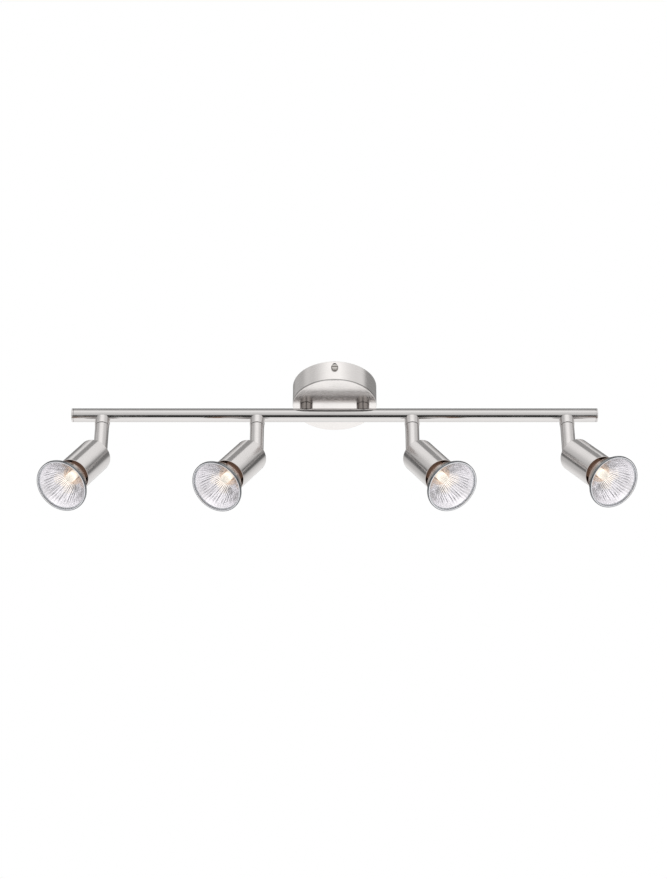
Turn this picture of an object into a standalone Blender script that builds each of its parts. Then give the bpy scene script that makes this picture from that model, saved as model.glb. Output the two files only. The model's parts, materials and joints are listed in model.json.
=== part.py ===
"""Ceiling spot bar: a round canopy, a straight tube under it and four swivelling spot heads.

Frame: metres, +Z up. The origin is the centre of the face that meets the ceiling, X runs
along the bar and -Y is the front. Heads are numbered 1 to 4 from -X to +X.
"""
import math

import bmesh
import bpy
from mathutils import Matrix, Vector

MM = 0.001

# Fits and seams
CLEARANCE = 0.3 * MM        # gap between two pieces that touch or run in each other
WELD = 0.001 * MM           # points closer than this are one point
OVERRUN = 1.0 * MM          # how far a cutter runs past the face that it opens

# Roundness of turned pieces
FINE = 40
MEDIUM = 20
COARSE = 16
SMALL = 10

# Canopy and its bracket
CANOPY_DIAMETER = 80.0 * MM
CANOPY_HEIGHT = 22.5 * MM
CANOPY_WALL = 1.0 * MM
CANOPY_EDGE_RADIUS = 0.9 * MM
BRACKET_WIDTH = 14.0 * MM
BRACKET_THICKNESS = 1.5 * MM
BRACKET_EAR_DEPTH = 13.0 * MM
FIXING_SLOT_WIDTH = 4.6 * MM
FIXING_SLOT_LENGTH = 9.0 * MM
FIXING_SLOT_SPACING = 50.0 * MM

# Screws of the canopy and the earth terminal
SCREW_RADIUS = 1.9 * MM
SCREW_HEAD_RADIUS = 3.4 * MM
SCREW_HEAD_HEIGHT = 2.2 * MM
SCREW_GRIP = 5.0 * MM       # length of a canopy screw inside the bracket's ear
SCREW_DROP = 8.0 * MM       # canopy screw's axis below the ceiling
HOOK_SLOT_RISE = 3.6 * MM   # how far the slot in the canopy runs up from the screw
DRIVE_SLOT_WIDTH = 0.9 * MM
DRIVE_SLOT_DEPTH = 0.9 * MM
EARTH_SCREW_LENGTH = 7.0 * MM
EARTH_SCREW_OFFSET = 13.5 * MM

# Terminal block
TERMINAL_SIZE = Vector((22.0, 16.0, 9.5)) * MM
TERMINAL_POLES = 3
TERMINAL_PITCH = 7.0 * MM
TERMINAL_WIRE_RADIUS = 1.6 * MM
TERMINAL_SCREW_RADIUS = 1.4 * MM

# Bar, its end caps and the wiring in it
BAR_LENGTH = 500.0 * MM
BAR_DIAMETER = 13.0 * MM
BAR_WALL = 1.0 * MM
BAR_DROP = 34.0 * MM        # bar's axis below the ceiling
CAP_THICKNESS = 1.2 * MM
CAP_EDGE = 0.4 * MM
CAP_SPIGOT_LENGTH = 6.0 * MM
WIRING_RADIUS = 1.8 * MM
WIRE_HOLE_RADIUS = 3.0 * MM

# Spacers, hollow nipples and nuts between the canopy and the bar
SPACER_SPACING = 54.0 * MM
SPACER_RADIUS = 6.2 * MM
SPACER_SADDLE_DEPTH = 3.0 * MM
NIPPLE_RADIUS = 4.0 * MM
NIPPLE_WALL = 1.2 * MM
NIPPLE_ABOVE_FACE = 9.0 * MM
NIPPLE_BELOW_WALL = 1.2 * MM
NUT_ACROSS_FLATS = 13.0 * MM
NUT_THICKNESS = 4.0 * MM

# Collars and stems of the heads
HEAD_COUNT = 4
HEAD_PITCH = 147.0 * MM
COLLAR_RADIUS = 7.0 * MM
COLLAR_WRAP = 2.2 * MM      # how far the collar's saddle climbs the bar above its underside
COLLAR_BELOW_BAR = 5.9 * MM
COLLAR_WALL = 0.9 * MM
COLLAR_LIP_HEIGHT = 2.3 * MM
STEM_RADIUS = 6.55 * MM
STEM_NECK_RADIUS = 4.6 * MM
STEM_FLANGE_HEIGHT = 1.7 * MM
STEM_BORE_RADIUS = 3.4 * MM
PIVOT_DROP = 41.0 * MM      # tilt pivot below the bar's axis

# Tilt knuckle
TONGUE_THICKNESS = 3.0 * MM
TONGUE_RADIUS = 4.5 * MM
SLOT_ABOVE_PIVOT = 7.0 * MM
ROUND_END_EXTRA = 0.05 * MM    # how far the round end's cutter stands outside the stem's side
PIVOT_SCREW_RADIUS = 1.6 * MM
PIVOT_HEAD_RADIUS = 2.7 * MM
PIVOT_HEAD_HEIGHT = 1.2 * MM
PIVOT_HEAD_SUNK = 0.1 * MM     # head's top below the stem's side at the edge of its sinking
PIVOT_GRIP = 3.0 * MM          # length of the tilt screw in the stem's blind cheek
LUG_FOOT_RADIUS = 7.0 * MM
LUG_FOOT_HEIGHT = 1.5 * MM
LUG_SPIGOT_RADIUS = 3.8 * MM
LUG_SPIGOT_LENGTH = 2.0 * MM   # below the cup's back wall

# Head cup and lampholder
CUP_RADIUS = 16.0 * MM
CUP_LENGTH = 46.0 * MM
CUP_WALL = 0.8 * MM
CUP_EDGE_RADIUS = 0.9 * MM
CUP_BACK = 11.0 * MM        # cup's back face below the tilt pivot
HOLDER_RADIUS = 12.5 * MM
HOLDER_HEIGHT = 17.0 * MM
HOLDER_HOLE_DEPTH = 9.0 * MM
HOLDER_GROOVE = 1.0 * MM

# Reflector lamp with a two-pin twist base
LAMP_RADIUS = 25.0 * MM
LAMP_PROUD = 23.5 * MM      # lamp's front beyond the cup's mouth
LAMP_NECK_RADIUS = 10.0 * MM
RIM_WALL = 0.5 * MM
RIM_LIP = 1.3 * MM
RIM_DEPTH = 3.0 * MM
GLASS_THICKNESS = 1.3 * MM
BOWL_DEPTH = 31.0 * MM      # lamp's front to the vertex of the bowl's outer parabola
BOWL_WALL = 1.8 * MM
BOWL_RINGS = 4              # rings of facets along the bowl
WELL_RADIUS = 5.5 * MM
WELL_DEPTH = 6.0 * MM
BURNER_RADIUS = 4.2 * MM
BURNER_LENGTH = 20.0 * MM
PIN_SPACING = 10.0 * MM
PIN_RADIUS = 1.5 * MM
PIN_HEAD_RADIUS = 2.35 * MM
PIN_LENGTH = 6.0 * MM
PIN_HEAD_HEIGHT = 2.4 * MM

# Where the four heads point at rest: turned from the front towards +X, and raised from straight down
HEAD_TURN = (-38.0, -46.0, 45.0, 42.0)
HEAD_TILT = (35.0, 36.5, 36.5, 39.0)

# Places that follow from the sizes above
FACE_Z = -CANOPY_HEIGHT
BAR_RADIUS = BAR_DIAMETER / 2
BAR_Z = -BAR_DROP
BAR_BORE = BAR_RADIUS - BAR_WALL
BAR_BOTTOM_Z = BAR_Z - BAR_RADIUS
COLLAR_BOTTOM_Z = BAR_BOTTOM_Z - COLLAR_BELOW_BAR
PIVOT_Z = BAR_Z - PIVOT_DROP
SADDLE_RADIUS = BAR_RADIUS + CLEARANCE
NIPPLE_HOLE = NIPPLE_RADIUS + CLEARANCE
SCREW_HOLE = SCREW_RADIUS + CLEARANCE
PIVOT_HOLE = PIVOT_SCREW_RADIUS + CLEARANCE
SLOT_HALF = TONGUE_THICKNESS / 2 + CLEARANCE
PIVOT_SINK_RADIUS = PIVOT_HEAD_RADIUS + CLEARANCE
PIVOT_HEAD_SEAT = math.sqrt(STEM_RADIUS ** 2 - PIVOT_SINK_RADIUS ** 2) - PIVOT_HEAD_SUNK - PIVOT_HEAD_HEIGHT
PIVOT_TIP = SLOT_HALF + PIVOT_GRIP
CUP_MOUTH = CUP_BACK + CUP_LENGTH
LAMP_FRONT = CUP_MOUTH + LAMP_PROUD
HOLDER_TOP = CUP_BACK + CUP_WALL + LUG_SPIGOT_LENGTH + 2 * CLEARANCE
HOLDER_FRONT = HOLDER_TOP + HOLDER_HEIGHT
LAMP_BASE = HOLDER_FRONT + CLEARANCE


# ---------------------------------------------------------------- making shapes

def clear_scene():
    """Remove every object that is in the scene."""
    for item in list(bpy.data.objects):
        bpy.data.objects.remove(item, do_unlink=True)


def add_object(name, mesh):
    """Put a mesh in the scene as an object of its own."""
    item = bpy.data.objects.new(name, mesh)
    bpy.context.scene.collection.objects.link(item)
    return item


def mesh_from(shape, name):
    """Turn an edited shape into a mesh with welded points and faces that look outwards."""
    bmesh.ops.remove_doubles(shape, verts=shape.verts, dist=WELD)
    bmesh.ops.recalc_face_normals(shape, faces=shape.faces)
    mesh = bpy.data.meshes.new(name)
    shape.to_mesh(mesh)
    shape.free()
    return mesh


def turned(name, outline, segments):
    """Turn an outline of (radius, height) points about Z; it closes on itself or ends on the axis."""
    shape = bmesh.new()
    points = [shape.verts.new((radius, 0.0, height)) for radius, height in outline]
    edges = [shape.edges.new(pair) for pair in zip(points, points[1:])]
    if outline[0][0] > 0.0:
        edges.append(shape.edges.new((points[-1], points[0])))
    bmesh.ops.spin(
        shape, geom=points + edges, axis=(0, 0, 1), cent=(0, 0, 0), angle=2 * math.pi, steps=segments, use_merge=True
    )
    return add_object(name, mesh_from(shape, name))


def extruded(name, outline, half_width):
    """Give an outline of (y, z) points a width along X, the same on both sides of the middle."""
    shape = bmesh.new()
    side = [shape.verts.new((-half_width, y, z)) for y, z in outline]
    face = shape.faces.new(side)
    grown = bmesh.ops.extrude_face_region(shape, geom=[face])
    moved = [item for item in grown["geom"] if isinstance(item, bmesh.types.BMVert)]
    bmesh.ops.translate(shape, verts=moved, vec=(2 * half_width, 0, 0))
    return add_object(name, mesh_from(shape, name))


def rod(name, radius, low, high, segments):
    """A plain round rod along Z from one height to another."""
    return turned(name, [(0.0, low), (radius, low), (radius, high), (0.0, high)], segments)


def block(name, low, high):
    """A plain box from its lowest to its highest corner."""
    size = Vector(high) - Vector(low)
    shape = bmesh.new()
    place = Matrix.Translation((Vector(high) + Vector(low)) / 2) @ Matrix.Diagonal((*size, 1.0))
    bmesh.ops.create_cube(shape, size=1.0, matrix=place)
    return add_object(name, mesh_from(shape, name))


def hexagon(name, across_flats, low, high):
    """A six-sided bar along Z."""
    return rod(name, across_flats / math.sqrt(3), low, high, 6)


def arc(centre, radius, start, end, steps):
    """Points of an arc in an outline, from one angle to another in degrees."""
    angles = [math.radians(start + (end - start) * step / steps) for step in range(steps + 1)]
    return [(centre[0] + radius * math.cos(angle), centre[1] + radius * math.sin(angle)) for angle in angles]


def moved(item, place):
    """Move a shape's own mesh, so that its object stays where it is."""
    item.data.transform(place)
    return item


def along_x(item):
    """Lay a shape that was made along Z along X."""
    return moved(item, Matrix.Rotation(math.pi / 2, 4, "Y"))


def along_front(item):
    """Lay a shape that was made along Z along -Y, its top end foremost."""
    return moved(item, Matrix.Rotation(math.pi / 2, 4, "X"))


def combine(body, tools, operation="DIFFERENCE"):
    """Cut the tools out of a body, or join them to it, and keep the result as the body's mesh."""
    for tool in tools:
        tool.hide_render = True
        tool.display_type = "WIRE"
        step = body.modifiers.new("combine", "BOOLEAN")
        step.operation = operation
        step.solver = "EXACT"
        step.object = tool
    graph = bpy.context.evaluated_depsgraph_get()
    result = bpy.data.meshes.new_from_object(body.evaluated_get(graph))
    body.modifiers.clear()
    body.data = result
    for tool in tools:
        bpy.data.objects.remove(tool, do_unlink=True)
    return body


def bar_cutter(radius):
    """A long round cutter on the bar's axis."""
    cutter = along_x(rod("bar_cutter", radius, -BAR_LENGTH, BAR_LENGTH, FINE))
    return moved(cutter, Matrix.Translation((0, 0, BAR_Z)))


def finished(item, material, parent=None):
    """Shade a piece smooth over its round faces, give it its material and hang it on its parent."""
    item.data.materials.clear()
    item.data.materials.append(material)
    item.data.shade_smooth()
    item.data.set_sharp_from_angle(angle=math.radians(35))
    if parent is not None:
        item.parent = parent
    return item


def copy_of(master, name, parent):
    """A copy of a finished piece that shares its mesh and hangs on a parent of its own."""
    item = add_object(name, master.data)
    item.parent = parent
    return item


# ---------------------------------------------------------------- materials

def make_material(name, colour, roughness, metallic):
    """A plain Principled material."""
    material = bpy.data.materials.new(name)
    material.use_nodes = True
    shader = material.node_tree.nodes["Principled BSDF"]
    shader.inputs["Base Color"].default_value = (*colour, 1.0)
    shader.inputs["Roughness"].default_value = roughness
    shader.inputs["Metallic"].default_value = metallic
    return material


def make_materials():
    """Every material of the fixture, by the name of what it is."""
    return {
        "satin_nickel": make_material("satin_nickel", (0.62, 0.60, 0.57), 0.32, 1.0),
        "bright_nickel": make_material("bright_nickel", (0.70, 0.69, 0.67), 0.15, 1.0),
        "zinc_steel": make_material("zinc_steel", (0.58, 0.60, 0.62), 0.40, 1.0),
        "brass": make_material("brass", (0.72, 0.55, 0.28), 0.35, 1.0),
        "terminal_plastic": make_material("terminal_plastic", (0.86, 0.85, 0.80), 0.50, 0.0),
        "wire_sheath": make_material("wire_sheath", (0.80, 0.80, 0.78), 0.55, 0.0),
        "holder_ceramic": make_material("holder_ceramic", (0.90, 0.88, 0.83), 0.55, 0.0),
        "reflector_glass": make_material("reflector_glass", (0.55, 0.47, 0.42), 0.12, 0.6),
        "clear_glass": make_material("clear_glass", (0.90, 0.93, 0.94), 0.05, 0.0),
        "burner_glass": make_material("burner_glass", (0.98, 0.90, 0.74), 0.10, 0.0),
        "lamp_rim_metal": make_material("lamp_rim_metal", (0.42, 0.44, 0.45), 0.30, 1.0),
    }


# ---------------------------------------------------------------- canopy group

def make_canopy(finishes):
    """The drawn cup under the ceiling: open at the top, two nipple holes and two screw holes."""
    radius = CANOPY_DIAMETER / 2
    edge = arc((radius - CANOPY_EDGE_RADIUS, FACE_Z + CANOPY_EDGE_RADIUS), CANOPY_EDGE_RADIUS, -90, 0, 2)
    inside = radius - CANOPY_WALL
    floor = FACE_Z + CANOPY_WALL
    outline = [(0.0, FACE_Z), *edge, (radius, 0.0), (inside, 0.0), (inside, floor), (0.0, floor)]
    cup = turned("canopy_cup", outline, FINE)
    cutters = []
    for side in (-1, 1):
        hole = rod("nipple_hole", NIPPLE_HOLE, FACE_Z - OVERRUN, floor + OVERRUN, COARSE)
        cutters.append(moved(hole, Matrix.Translation((side * SPACER_SPACING / 2, 0, 0))))
    cutters.append(make_hook_slot(radius + OVERRUN))
    return finished(combine(cup, cutters), finishes["satin_nickel"])


def make_hook_slot(reach):
    """The cutter of the upright slots in front and back, by which the canopy hangs on its screws."""
    lower = arc((0.0, -SCREW_DROP), SCREW_HOLE, 180, 360, 6)
    upper = arc((0.0, -SCREW_DROP + HOOK_SLOT_RISE), SCREW_HOLE, 0, 180, 6)
    slot = extruded("hook_slot", lower + upper, reach)
    return moved(slot, Matrix.Rotation(math.pi / 2, 4, "Z"))


def bracket_ear_face():
    """How far from the middle the ears' outer faces stand, so that they clear the canopy's wall."""
    room = CANOPY_DIAMETER / 2 - CANOPY_WALL - CLEARANCE
    return math.sqrt(room ** 2 - (BRACKET_WIDTH / 2) ** 2)


def make_bracket(finishes):
    """The steel strap on the ceiling, its two ears turned down to take the canopy's screws."""
    reach = bracket_ear_face()
    thick = BRACKET_THICKNESS
    ear = -BRACKET_EAR_DEPTH
    outline = [
        (-reach, 0.0), (reach, 0.0), (reach, ear), (reach - thick, ear),
        (reach - thick, -thick), (thick - reach, -thick), (thick - reach, ear), (-reach, ear),
    ]
    strap = extruded("ceiling_bracket", outline, BRACKET_WIDTH / 2)
    cutters = [make_fixing_slot(side * FIXING_SLOT_SPACING / 2) for side in (-1, 1)]
    ear_holes = along_front(rod("ear_hole", SCREW_HOLE, -reach - OVERRUN, reach + OVERRUN, SMALL))
    cutters.append(moved(ear_holes, Matrix.Translation((0, 0, -SCREW_DROP))))
    earth_hole = rod("earth_hole", SCREW_HOLE, -thick - OVERRUN, OVERRUN, SMALL)
    cutters.append(moved(earth_hole, Matrix.Translation((0, -EARTH_SCREW_OFFSET, 0))))
    return finished(combine(strap, cutters), finishes["zinc_steel"])


def make_fixing_slot(middle):
    """The cutter of one round-ended slot for a ceiling screw, long in the bracket's own direction."""
    radius = FIXING_SLOT_WIDTH / 2
    straight = FIXING_SLOT_LENGTH / 2 - radius
    right = arc((straight, 0.0), radius, -90, 90, 6)
    left = arc((-straight, 0.0), radius, 90, 270, 6)
    slot = extruded("fixing_slot", right + left, BRACKET_THICKNESS + OVERRUN)
    upright = Matrix.Rotation(math.pi / 2, 4, "Y")
    return moved(slot, Matrix.Translation((0, middle, 0)) @ upright)


def screw(name, shank_length, head_radius, head_height, shank_radius):
    """A slotted screw along Z: the head stands on the origin and the shank runs down from it."""
    rounding = head_height / 3
    outline = [
        (0.0, -shank_length), (shank_radius, -shank_length), (shank_radius, 0.0), (head_radius, 0.0),
        (head_radius, head_height - rounding), (head_radius - rounding, head_height), (0.0, head_height),
    ]
    body = turned(name, outline, SMALL)
    half = DRIVE_SLOT_WIDTH / 2
    low = (-head_radius - OVERRUN, -half, head_height - DRIVE_SLOT_DEPTH)
    high = (head_radius + OVERRUN, half, head_height + OVERRUN)
    return combine(body, [block("drive_slot", low, high)])


def make_canopy_screws(finishes):
    """The front and back screws, through the canopy's wall into the bracket's ears."""
    seat = CANOPY_DIAMETER / 2 + CLEARANCE
    length = seat - bracket_ear_face() + SCREW_GRIP
    master = screw("canopy_screw_front", length, SCREW_HEAD_RADIUS, SCREW_HEAD_HEIGHT, SCREW_RADIUS)
    moved(along_front(master), Matrix.Translation((0, -seat, -SCREW_DROP)))
    finished(master, finishes["bright_nickel"])
    back = add_object("canopy_screw_back", master.data.copy())
    moved(back, Matrix.Rotation(math.pi, 4, "Z"))


def make_earth_screw(finishes):
    """The earth terminal's screw, up through the bracket with its head below."""
    shank = BRACKET_THICKNESS
    item = screw("earth_screw", shank, SCREW_HEAD_RADIUS, EARTH_SCREW_LENGTH - shank, SCREW_RADIUS)
    turn = Matrix.Rotation(math.pi, 4, "X")
    moved(item, Matrix.Translation((0, -EARTH_SCREW_OFFSET, -BRACKET_THICKNESS - CLEARANCE)) @ turn)
    return finished(item, finishes["brass"])


def make_terminal_block(finishes):
    """The supply's terminal block, under the bracket, with a wire way and a clamp screw hole per pole."""
    top = -BRACKET_THICKNESS - CLEARANCE
    half_x, half_y = TERMINAL_SIZE.x / 2, TERMINAL_SIZE.y / 2
    base = top - TERMINAL_SIZE.z
    body = block("terminal_block", (-half_x, -half_y, base), (half_x, half_y, top))
    middle = (top + base) / 2
    cutters = []
    for pole in range(TERMINAL_POLES):
        offset = (pole - (TERMINAL_POLES - 1) / 2) * TERMINAL_PITCH
        way = along_front(rod("wire_way", TERMINAL_WIRE_RADIUS, -half_y - OVERRUN, half_y + OVERRUN, SMALL))
        cutters.append(moved(way, Matrix.Translation((offset, 0, middle))))
        clamp = rod("clamp_hole", TERMINAL_SCREW_RADIUS, base - OVERRUN, middle, SMALL)
        cutters.append(moved(clamp, Matrix.Translation((offset, 0, 0))))
    return finished(combine(body, cutters), finishes["terminal_plastic"])


# ---------------------------------------------------------------- bar group

def make_bar(finishes):
    """The round tube, with holes for the two nipples on top and for the heads' wires below."""
    half = BAR_LENGTH / 2 - CAP_THICKNESS - CLEARANCE
    outline = [(BAR_BORE, -half), (BAR_RADIUS, -half), (BAR_RADIUS, half), (BAR_BORE, half)]
    tube = moved(along_x(turned("bar_tube", outline, MEDIUM)), Matrix.Translation((0, 0, BAR_Z)))
    cutters = []
    for side in (-1, 1):
        hole = rod("nipple_hole", NIPPLE_HOLE, BAR_Z, BAR_Z + BAR_DIAMETER, COARSE)
        cutters.append(moved(hole, Matrix.Translation((side * SPACER_SPACING / 2, 0, 0))))
    for head in range(HEAD_COUNT):
        hole = rod("wire_hole", WIRE_HOLE_RADIUS, BAR_Z - BAR_DIAMETER, BAR_Z, SMALL)
        cutters.append(moved(hole, Matrix.Translation((head_x(head), 0, 0))))
    return finished(combine(tube, cutters), finishes["satin_nickel"])


def make_bar_caps(finishes):
    """The plug that closes each end of the bar."""
    spigot = BAR_BORE - CLEARANCE
    outline = [
        (0.0, -CAP_SPIGOT_LENGTH), (spigot, -CAP_SPIGOT_LENGTH), (spigot, 0.0), (BAR_RADIUS, 0.0),
        (BAR_RADIUS, CAP_THICKNESS - CAP_EDGE), (BAR_RADIUS - CAP_EDGE, CAP_THICKNESS), (0.0, CAP_THICKNESS),
    ]
    seat = BAR_LENGTH / 2 - CAP_THICKNESS
    for name, turn in (("bar_cap_right", 0.0), ("bar_cap_left", math.pi)):
        cap = along_x(turned(name, outline, MEDIUM))
        moved(cap, Matrix.Translation((seat, 0, 0)))
        moved(cap, Matrix.Translation((0, 0, BAR_Z)) @ Matrix.Rotation(turn, 4, "Z"))
        finished(cap, finishes["satin_nickel"])


def make_bar_wiring(finishes):
    """The bundle of wires that runs inside the bar from the first head to the last."""
    half = head_x(HEAD_COUNT - 1)
    bundle = along_x(rod("bar_wiring", WIRING_RADIUS, -half, half, SMALL))
    return finished(moved(bundle, Matrix.Translation((0, 0, BAR_Z))), finishes["wire_sheath"])


def make_spacers(finishes):
    """The two short sleeves that hold the bar off the canopy, each with a saddle for the bar."""
    top = FACE_Z - CLEARANCE
    low = BAR_Z + BAR_RADIUS - SPACER_SADDLE_DEPTH
    outline = [(NIPPLE_HOLE, low), (SPACER_RADIUS, low), (SPACER_RADIUS, top), (NIPPLE_HOLE, top)]
    for name, side in (("spacer_left", -1), ("spacer_right", 1)):
        sleeve = turned(name, outline, COARSE)
        combine(sleeve, [bar_cutter(SADDLE_RADIUS)])
        moved(sleeve, Matrix.Translation((side * SPACER_SPACING / 2, 0, 0)))
        finished(sleeve, finishes["satin_nickel"])


def make_nipples(finishes):
    """The hollow threaded nipples that carry the wires from the canopy into the bar, with their nuts."""
    bore = NIPPLE_RADIUS - NIPPLE_WALL
    low = BAR_Z + BAR_BORE - NIPPLE_BELOW_WALL
    high = FACE_Z + NIPPLE_ABOVE_FACE
    outline = [(bore, low), (NIPPLE_RADIUS, low), (NIPPLE_RADIUS, high), (bore, high)]
    nut_low = FACE_Z + CANOPY_WALL + CLEARANCE
    nut_high = nut_low + NUT_THICKNESS
    for word, side in (("left", -1), ("right", 1)):
        place = Matrix.Translation((side * SPACER_SPACING / 2, 0, 0))
        nipple = moved(turned("nipple_" + word, outline, COARSE), place)
        finished(nipple, finishes["zinc_steel"])
        nut = hexagon("nipple_nut_" + word, NUT_ACROSS_FLATS, nut_low, nut_high)
        combine(nut, [rod("nut_bore", NIPPLE_HOLE, nut_low - OVERRUN, nut_high + OVERRUN, COARSE)])
        finished(moved(nut, place), finishes["zinc_steel"])


# ---------------------------------------------------------------- collars, stems and knuckles

def head_x(index):
    """Where along the bar a head hangs; the first is at the -X end."""
    return (index - (HEAD_COUNT - 1) / 2) * HEAD_PITCH


def make_collar_master(finishes):
    """The collar under the bar: a saddle on top, a pocket for the stem's flange and a lip under it."""
    top = BAR_BOTTOM_Z + COLLAR_WRAP
    lip_top = COLLAR_BOTTOM_Z + COLLAR_LIP_HEIGHT
    lip = STEM_NECK_RADIUS + CLEARANCE
    pocket = COLLAR_RADIUS - COLLAR_WALL
    outline = [
        (lip, COLLAR_BOTTOM_Z), (COLLAR_RADIUS, COLLAR_BOTTOM_Z), (COLLAR_RADIUS, top),
        (pocket, top), (pocket, lip_top), (lip, lip_top),
    ]
    collar = turned("collar_1", outline, MEDIUM)
    combine(collar, [bar_cutter(SADDLE_RADIUS)])
    return finished(collar, finishes["satin_nickel"])


def stem_outline():
    """The stem's outline about its own axis, with heights above the tilt pivot."""
    shoulder = COLLAR_BOTTOM_Z - CLEARANCE - PIVOT_Z
    flange_low = COLLAR_BOTTOM_Z + COLLAR_LIP_HEIGHT + CLEARANCE - PIVOT_Z
    flange_top = flange_low + STEM_FLANGE_HEIGHT
    flange = COLLAR_RADIUS - COLLAR_WALL - CLEARANCE
    bore_end = SLOT_ABOVE_PIVOT - OVERRUN
    return [
        (0.0, -STEM_RADIUS), (STEM_RADIUS, -STEM_RADIUS), (STEM_RADIUS, shoulder), (STEM_NECK_RADIUS, shoulder),
        (STEM_NECK_RADIUS, flange_low), (flange, flange_low), (flange, flange_top),
        (STEM_BORE_RADIUS, flange_top), (STEM_BORE_RADIUS, bore_end), (0.0, bore_end),
    ]


def make_stem_master(finishes):
    """The hollow stem: it turns in the collar, and its slotted lower end takes the head's tongue."""
    stem = turned("stem_1", stem_outline(), MEDIUM)
    clear = STEM_RADIUS + ROUND_END_EXTRA
    height = PIVOT_DROP
    rounding = arc((0.0, 0.0), clear, 180, 360, 8)
    combine(stem, [extruded("round_end", [*rounding, (clear, height), (-clear, height)], BAR_DIAMETER)], "INTERSECT")
    reach = STEM_RADIUS + OVERRUN
    slot = block("slot", (-SLOT_HALF, -reach, -reach), (SLOT_HALF, reach, SLOT_ABOVE_PIVOT))
    hole = along_x(rod("pivot_hole", PIVOT_HOLE, -PIVOT_TIP - CLEARANCE, reach, SMALL))
    sinking = along_x(rod("sinking", PIVOT_SINK_RADIUS, PIVOT_HEAD_SEAT - CLEARANCE, reach, COARSE))
    combine(stem, [slot, hole, sinking])
    return finished(stem, finishes["satin_nickel"])


def make_pivot_master(finishes):
    """The tilt screw: its head is sunk in one cheek, and it grips in the other cheek's blind hole."""
    length = PIVOT_HEAD_SEAT + PIVOT_TIP
    bolt = screw("pivot_screw_1", length, PIVOT_HEAD_RADIUS, PIVOT_HEAD_HEIGHT, PIVOT_SCREW_RADIUS)
    moved(bolt, Matrix.Translation((0, 0, PIVOT_HEAD_SEAT)))
    return finished(along_x(bolt), finishes["bright_nickel"])


# ---------------------------------------------------------------- head, made pointing down from its pivot

def make_lug_master(finishes):
    """The head's tongue on a round foot, whose spigot is riveted through the cup's back."""
    foot_low = -CUP_BACK + CLEARANCE
    foot_top = foot_low + LUG_FOOT_HEIGHT
    spigot_end = -CUP_BACK - CUP_WALL - LUG_SPIGOT_LENGTH
    foot = turned(
        "tilt_lug_1",
        [
            (0.0, spigot_end), (LUG_SPIGOT_RADIUS, spigot_end), (LUG_SPIGOT_RADIUS, foot_low),
            (LUG_FOOT_RADIUS, foot_low), (LUG_FOOT_RADIUS, foot_top), (0.0, foot_top),
        ],
        COARSE,
    )
    root = foot_low + LUG_FOOT_HEIGHT / 2
    tip = arc((0.0, 0.0), TONGUE_RADIUS, 0, 180, 8)
    tongue = extruded("tongue", [*tip, (-TONGUE_RADIUS, root), (TONGUE_RADIUS, root)], TONGUE_THICKNESS / 2)
    combine(foot, [tongue], "UNION")
    hole = along_x(rod("pivot_hole", PIVOT_HOLE, -TONGUE_THICKNESS, TONGUE_THICKNESS, SMALL))
    return finished(combine(foot, [hole]), finishes["bright_nickel"])


def make_cup_master(finishes):
    """The plain drawn cup that holds the lampholder, closed but for the lug's hole at its back."""
    hole = LUG_SPIGOT_RADIUS + CLEARANCE
    edge = arc((CUP_RADIUS - CUP_EDGE_RADIUS, -CUP_BACK - CUP_EDGE_RADIUS), CUP_EDGE_RADIUS, 90, 0, 2)
    inside = CUP_RADIUS - CUP_WALL
    ceiling = -CUP_BACK - CUP_WALL
    outline = [
        (hole, -CUP_BACK), *edge, (CUP_RADIUS, -CUP_MOUTH), (inside, -CUP_MOUTH), (inside, ceiling), (hole, ceiling),
    ]
    return finished(turned("head_cup_1", outline, MEDIUM), finishes["satin_nickel"])


def make_holder_master(finishes):
    """The ceramic lampholder with a groove round it and two blind holes for the lamp's pins."""
    waist = HOLDER_RADIUS - HOLDER_GROOVE
    third = HOLDER_HEIGHT / 3
    outline = [
        (0.0, -HOLDER_FRONT), (HOLDER_RADIUS, -HOLDER_FRONT), (HOLDER_RADIUS, -HOLDER_FRONT + third),
        (waist, -HOLDER_FRONT + third), (waist, -HOLDER_TOP - third), (HOLDER_RADIUS, -HOLDER_TOP - third),
        (HOLDER_RADIUS, -HOLDER_TOP), (0.0, -HOLDER_TOP),
    ]
    holder = turned("lampholder_1", outline, COARSE)
    radius = PIN_HEAD_RADIUS + 2 * CLEARANCE
    holes = []
    for side in (-1, 1):
        hole = rod("pin_hole", radius, -HOLDER_FRONT - OVERRUN, -HOLDER_FRONT + HOLDER_HOLE_DEPTH, SMALL)
        holes.append(moved(hole, Matrix.Translation((side * PIN_SPACING / 2, 0, 0))))
    return finished(combine(holder, holes), finishes["holder_ceramic"])


def bowl_side(radius, vertex, start, end, steps):
    """Points of a parabola from one depth behind the lamp's front to another."""
    depths = [start + (end - start) * step / steps for step in range(steps + 1)]
    scale = radius / math.sqrt(vertex - start)
    return [(scale * math.sqrt(vertex - depth), depth - LAMP_FRONT) for depth in depths]


def depth_at(radius, rim, vertex, start):
    """How deep a parabola is where it has narrowed to a radius."""
    return vertex - (vertex - start) * (radius / rim) ** 2


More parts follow.
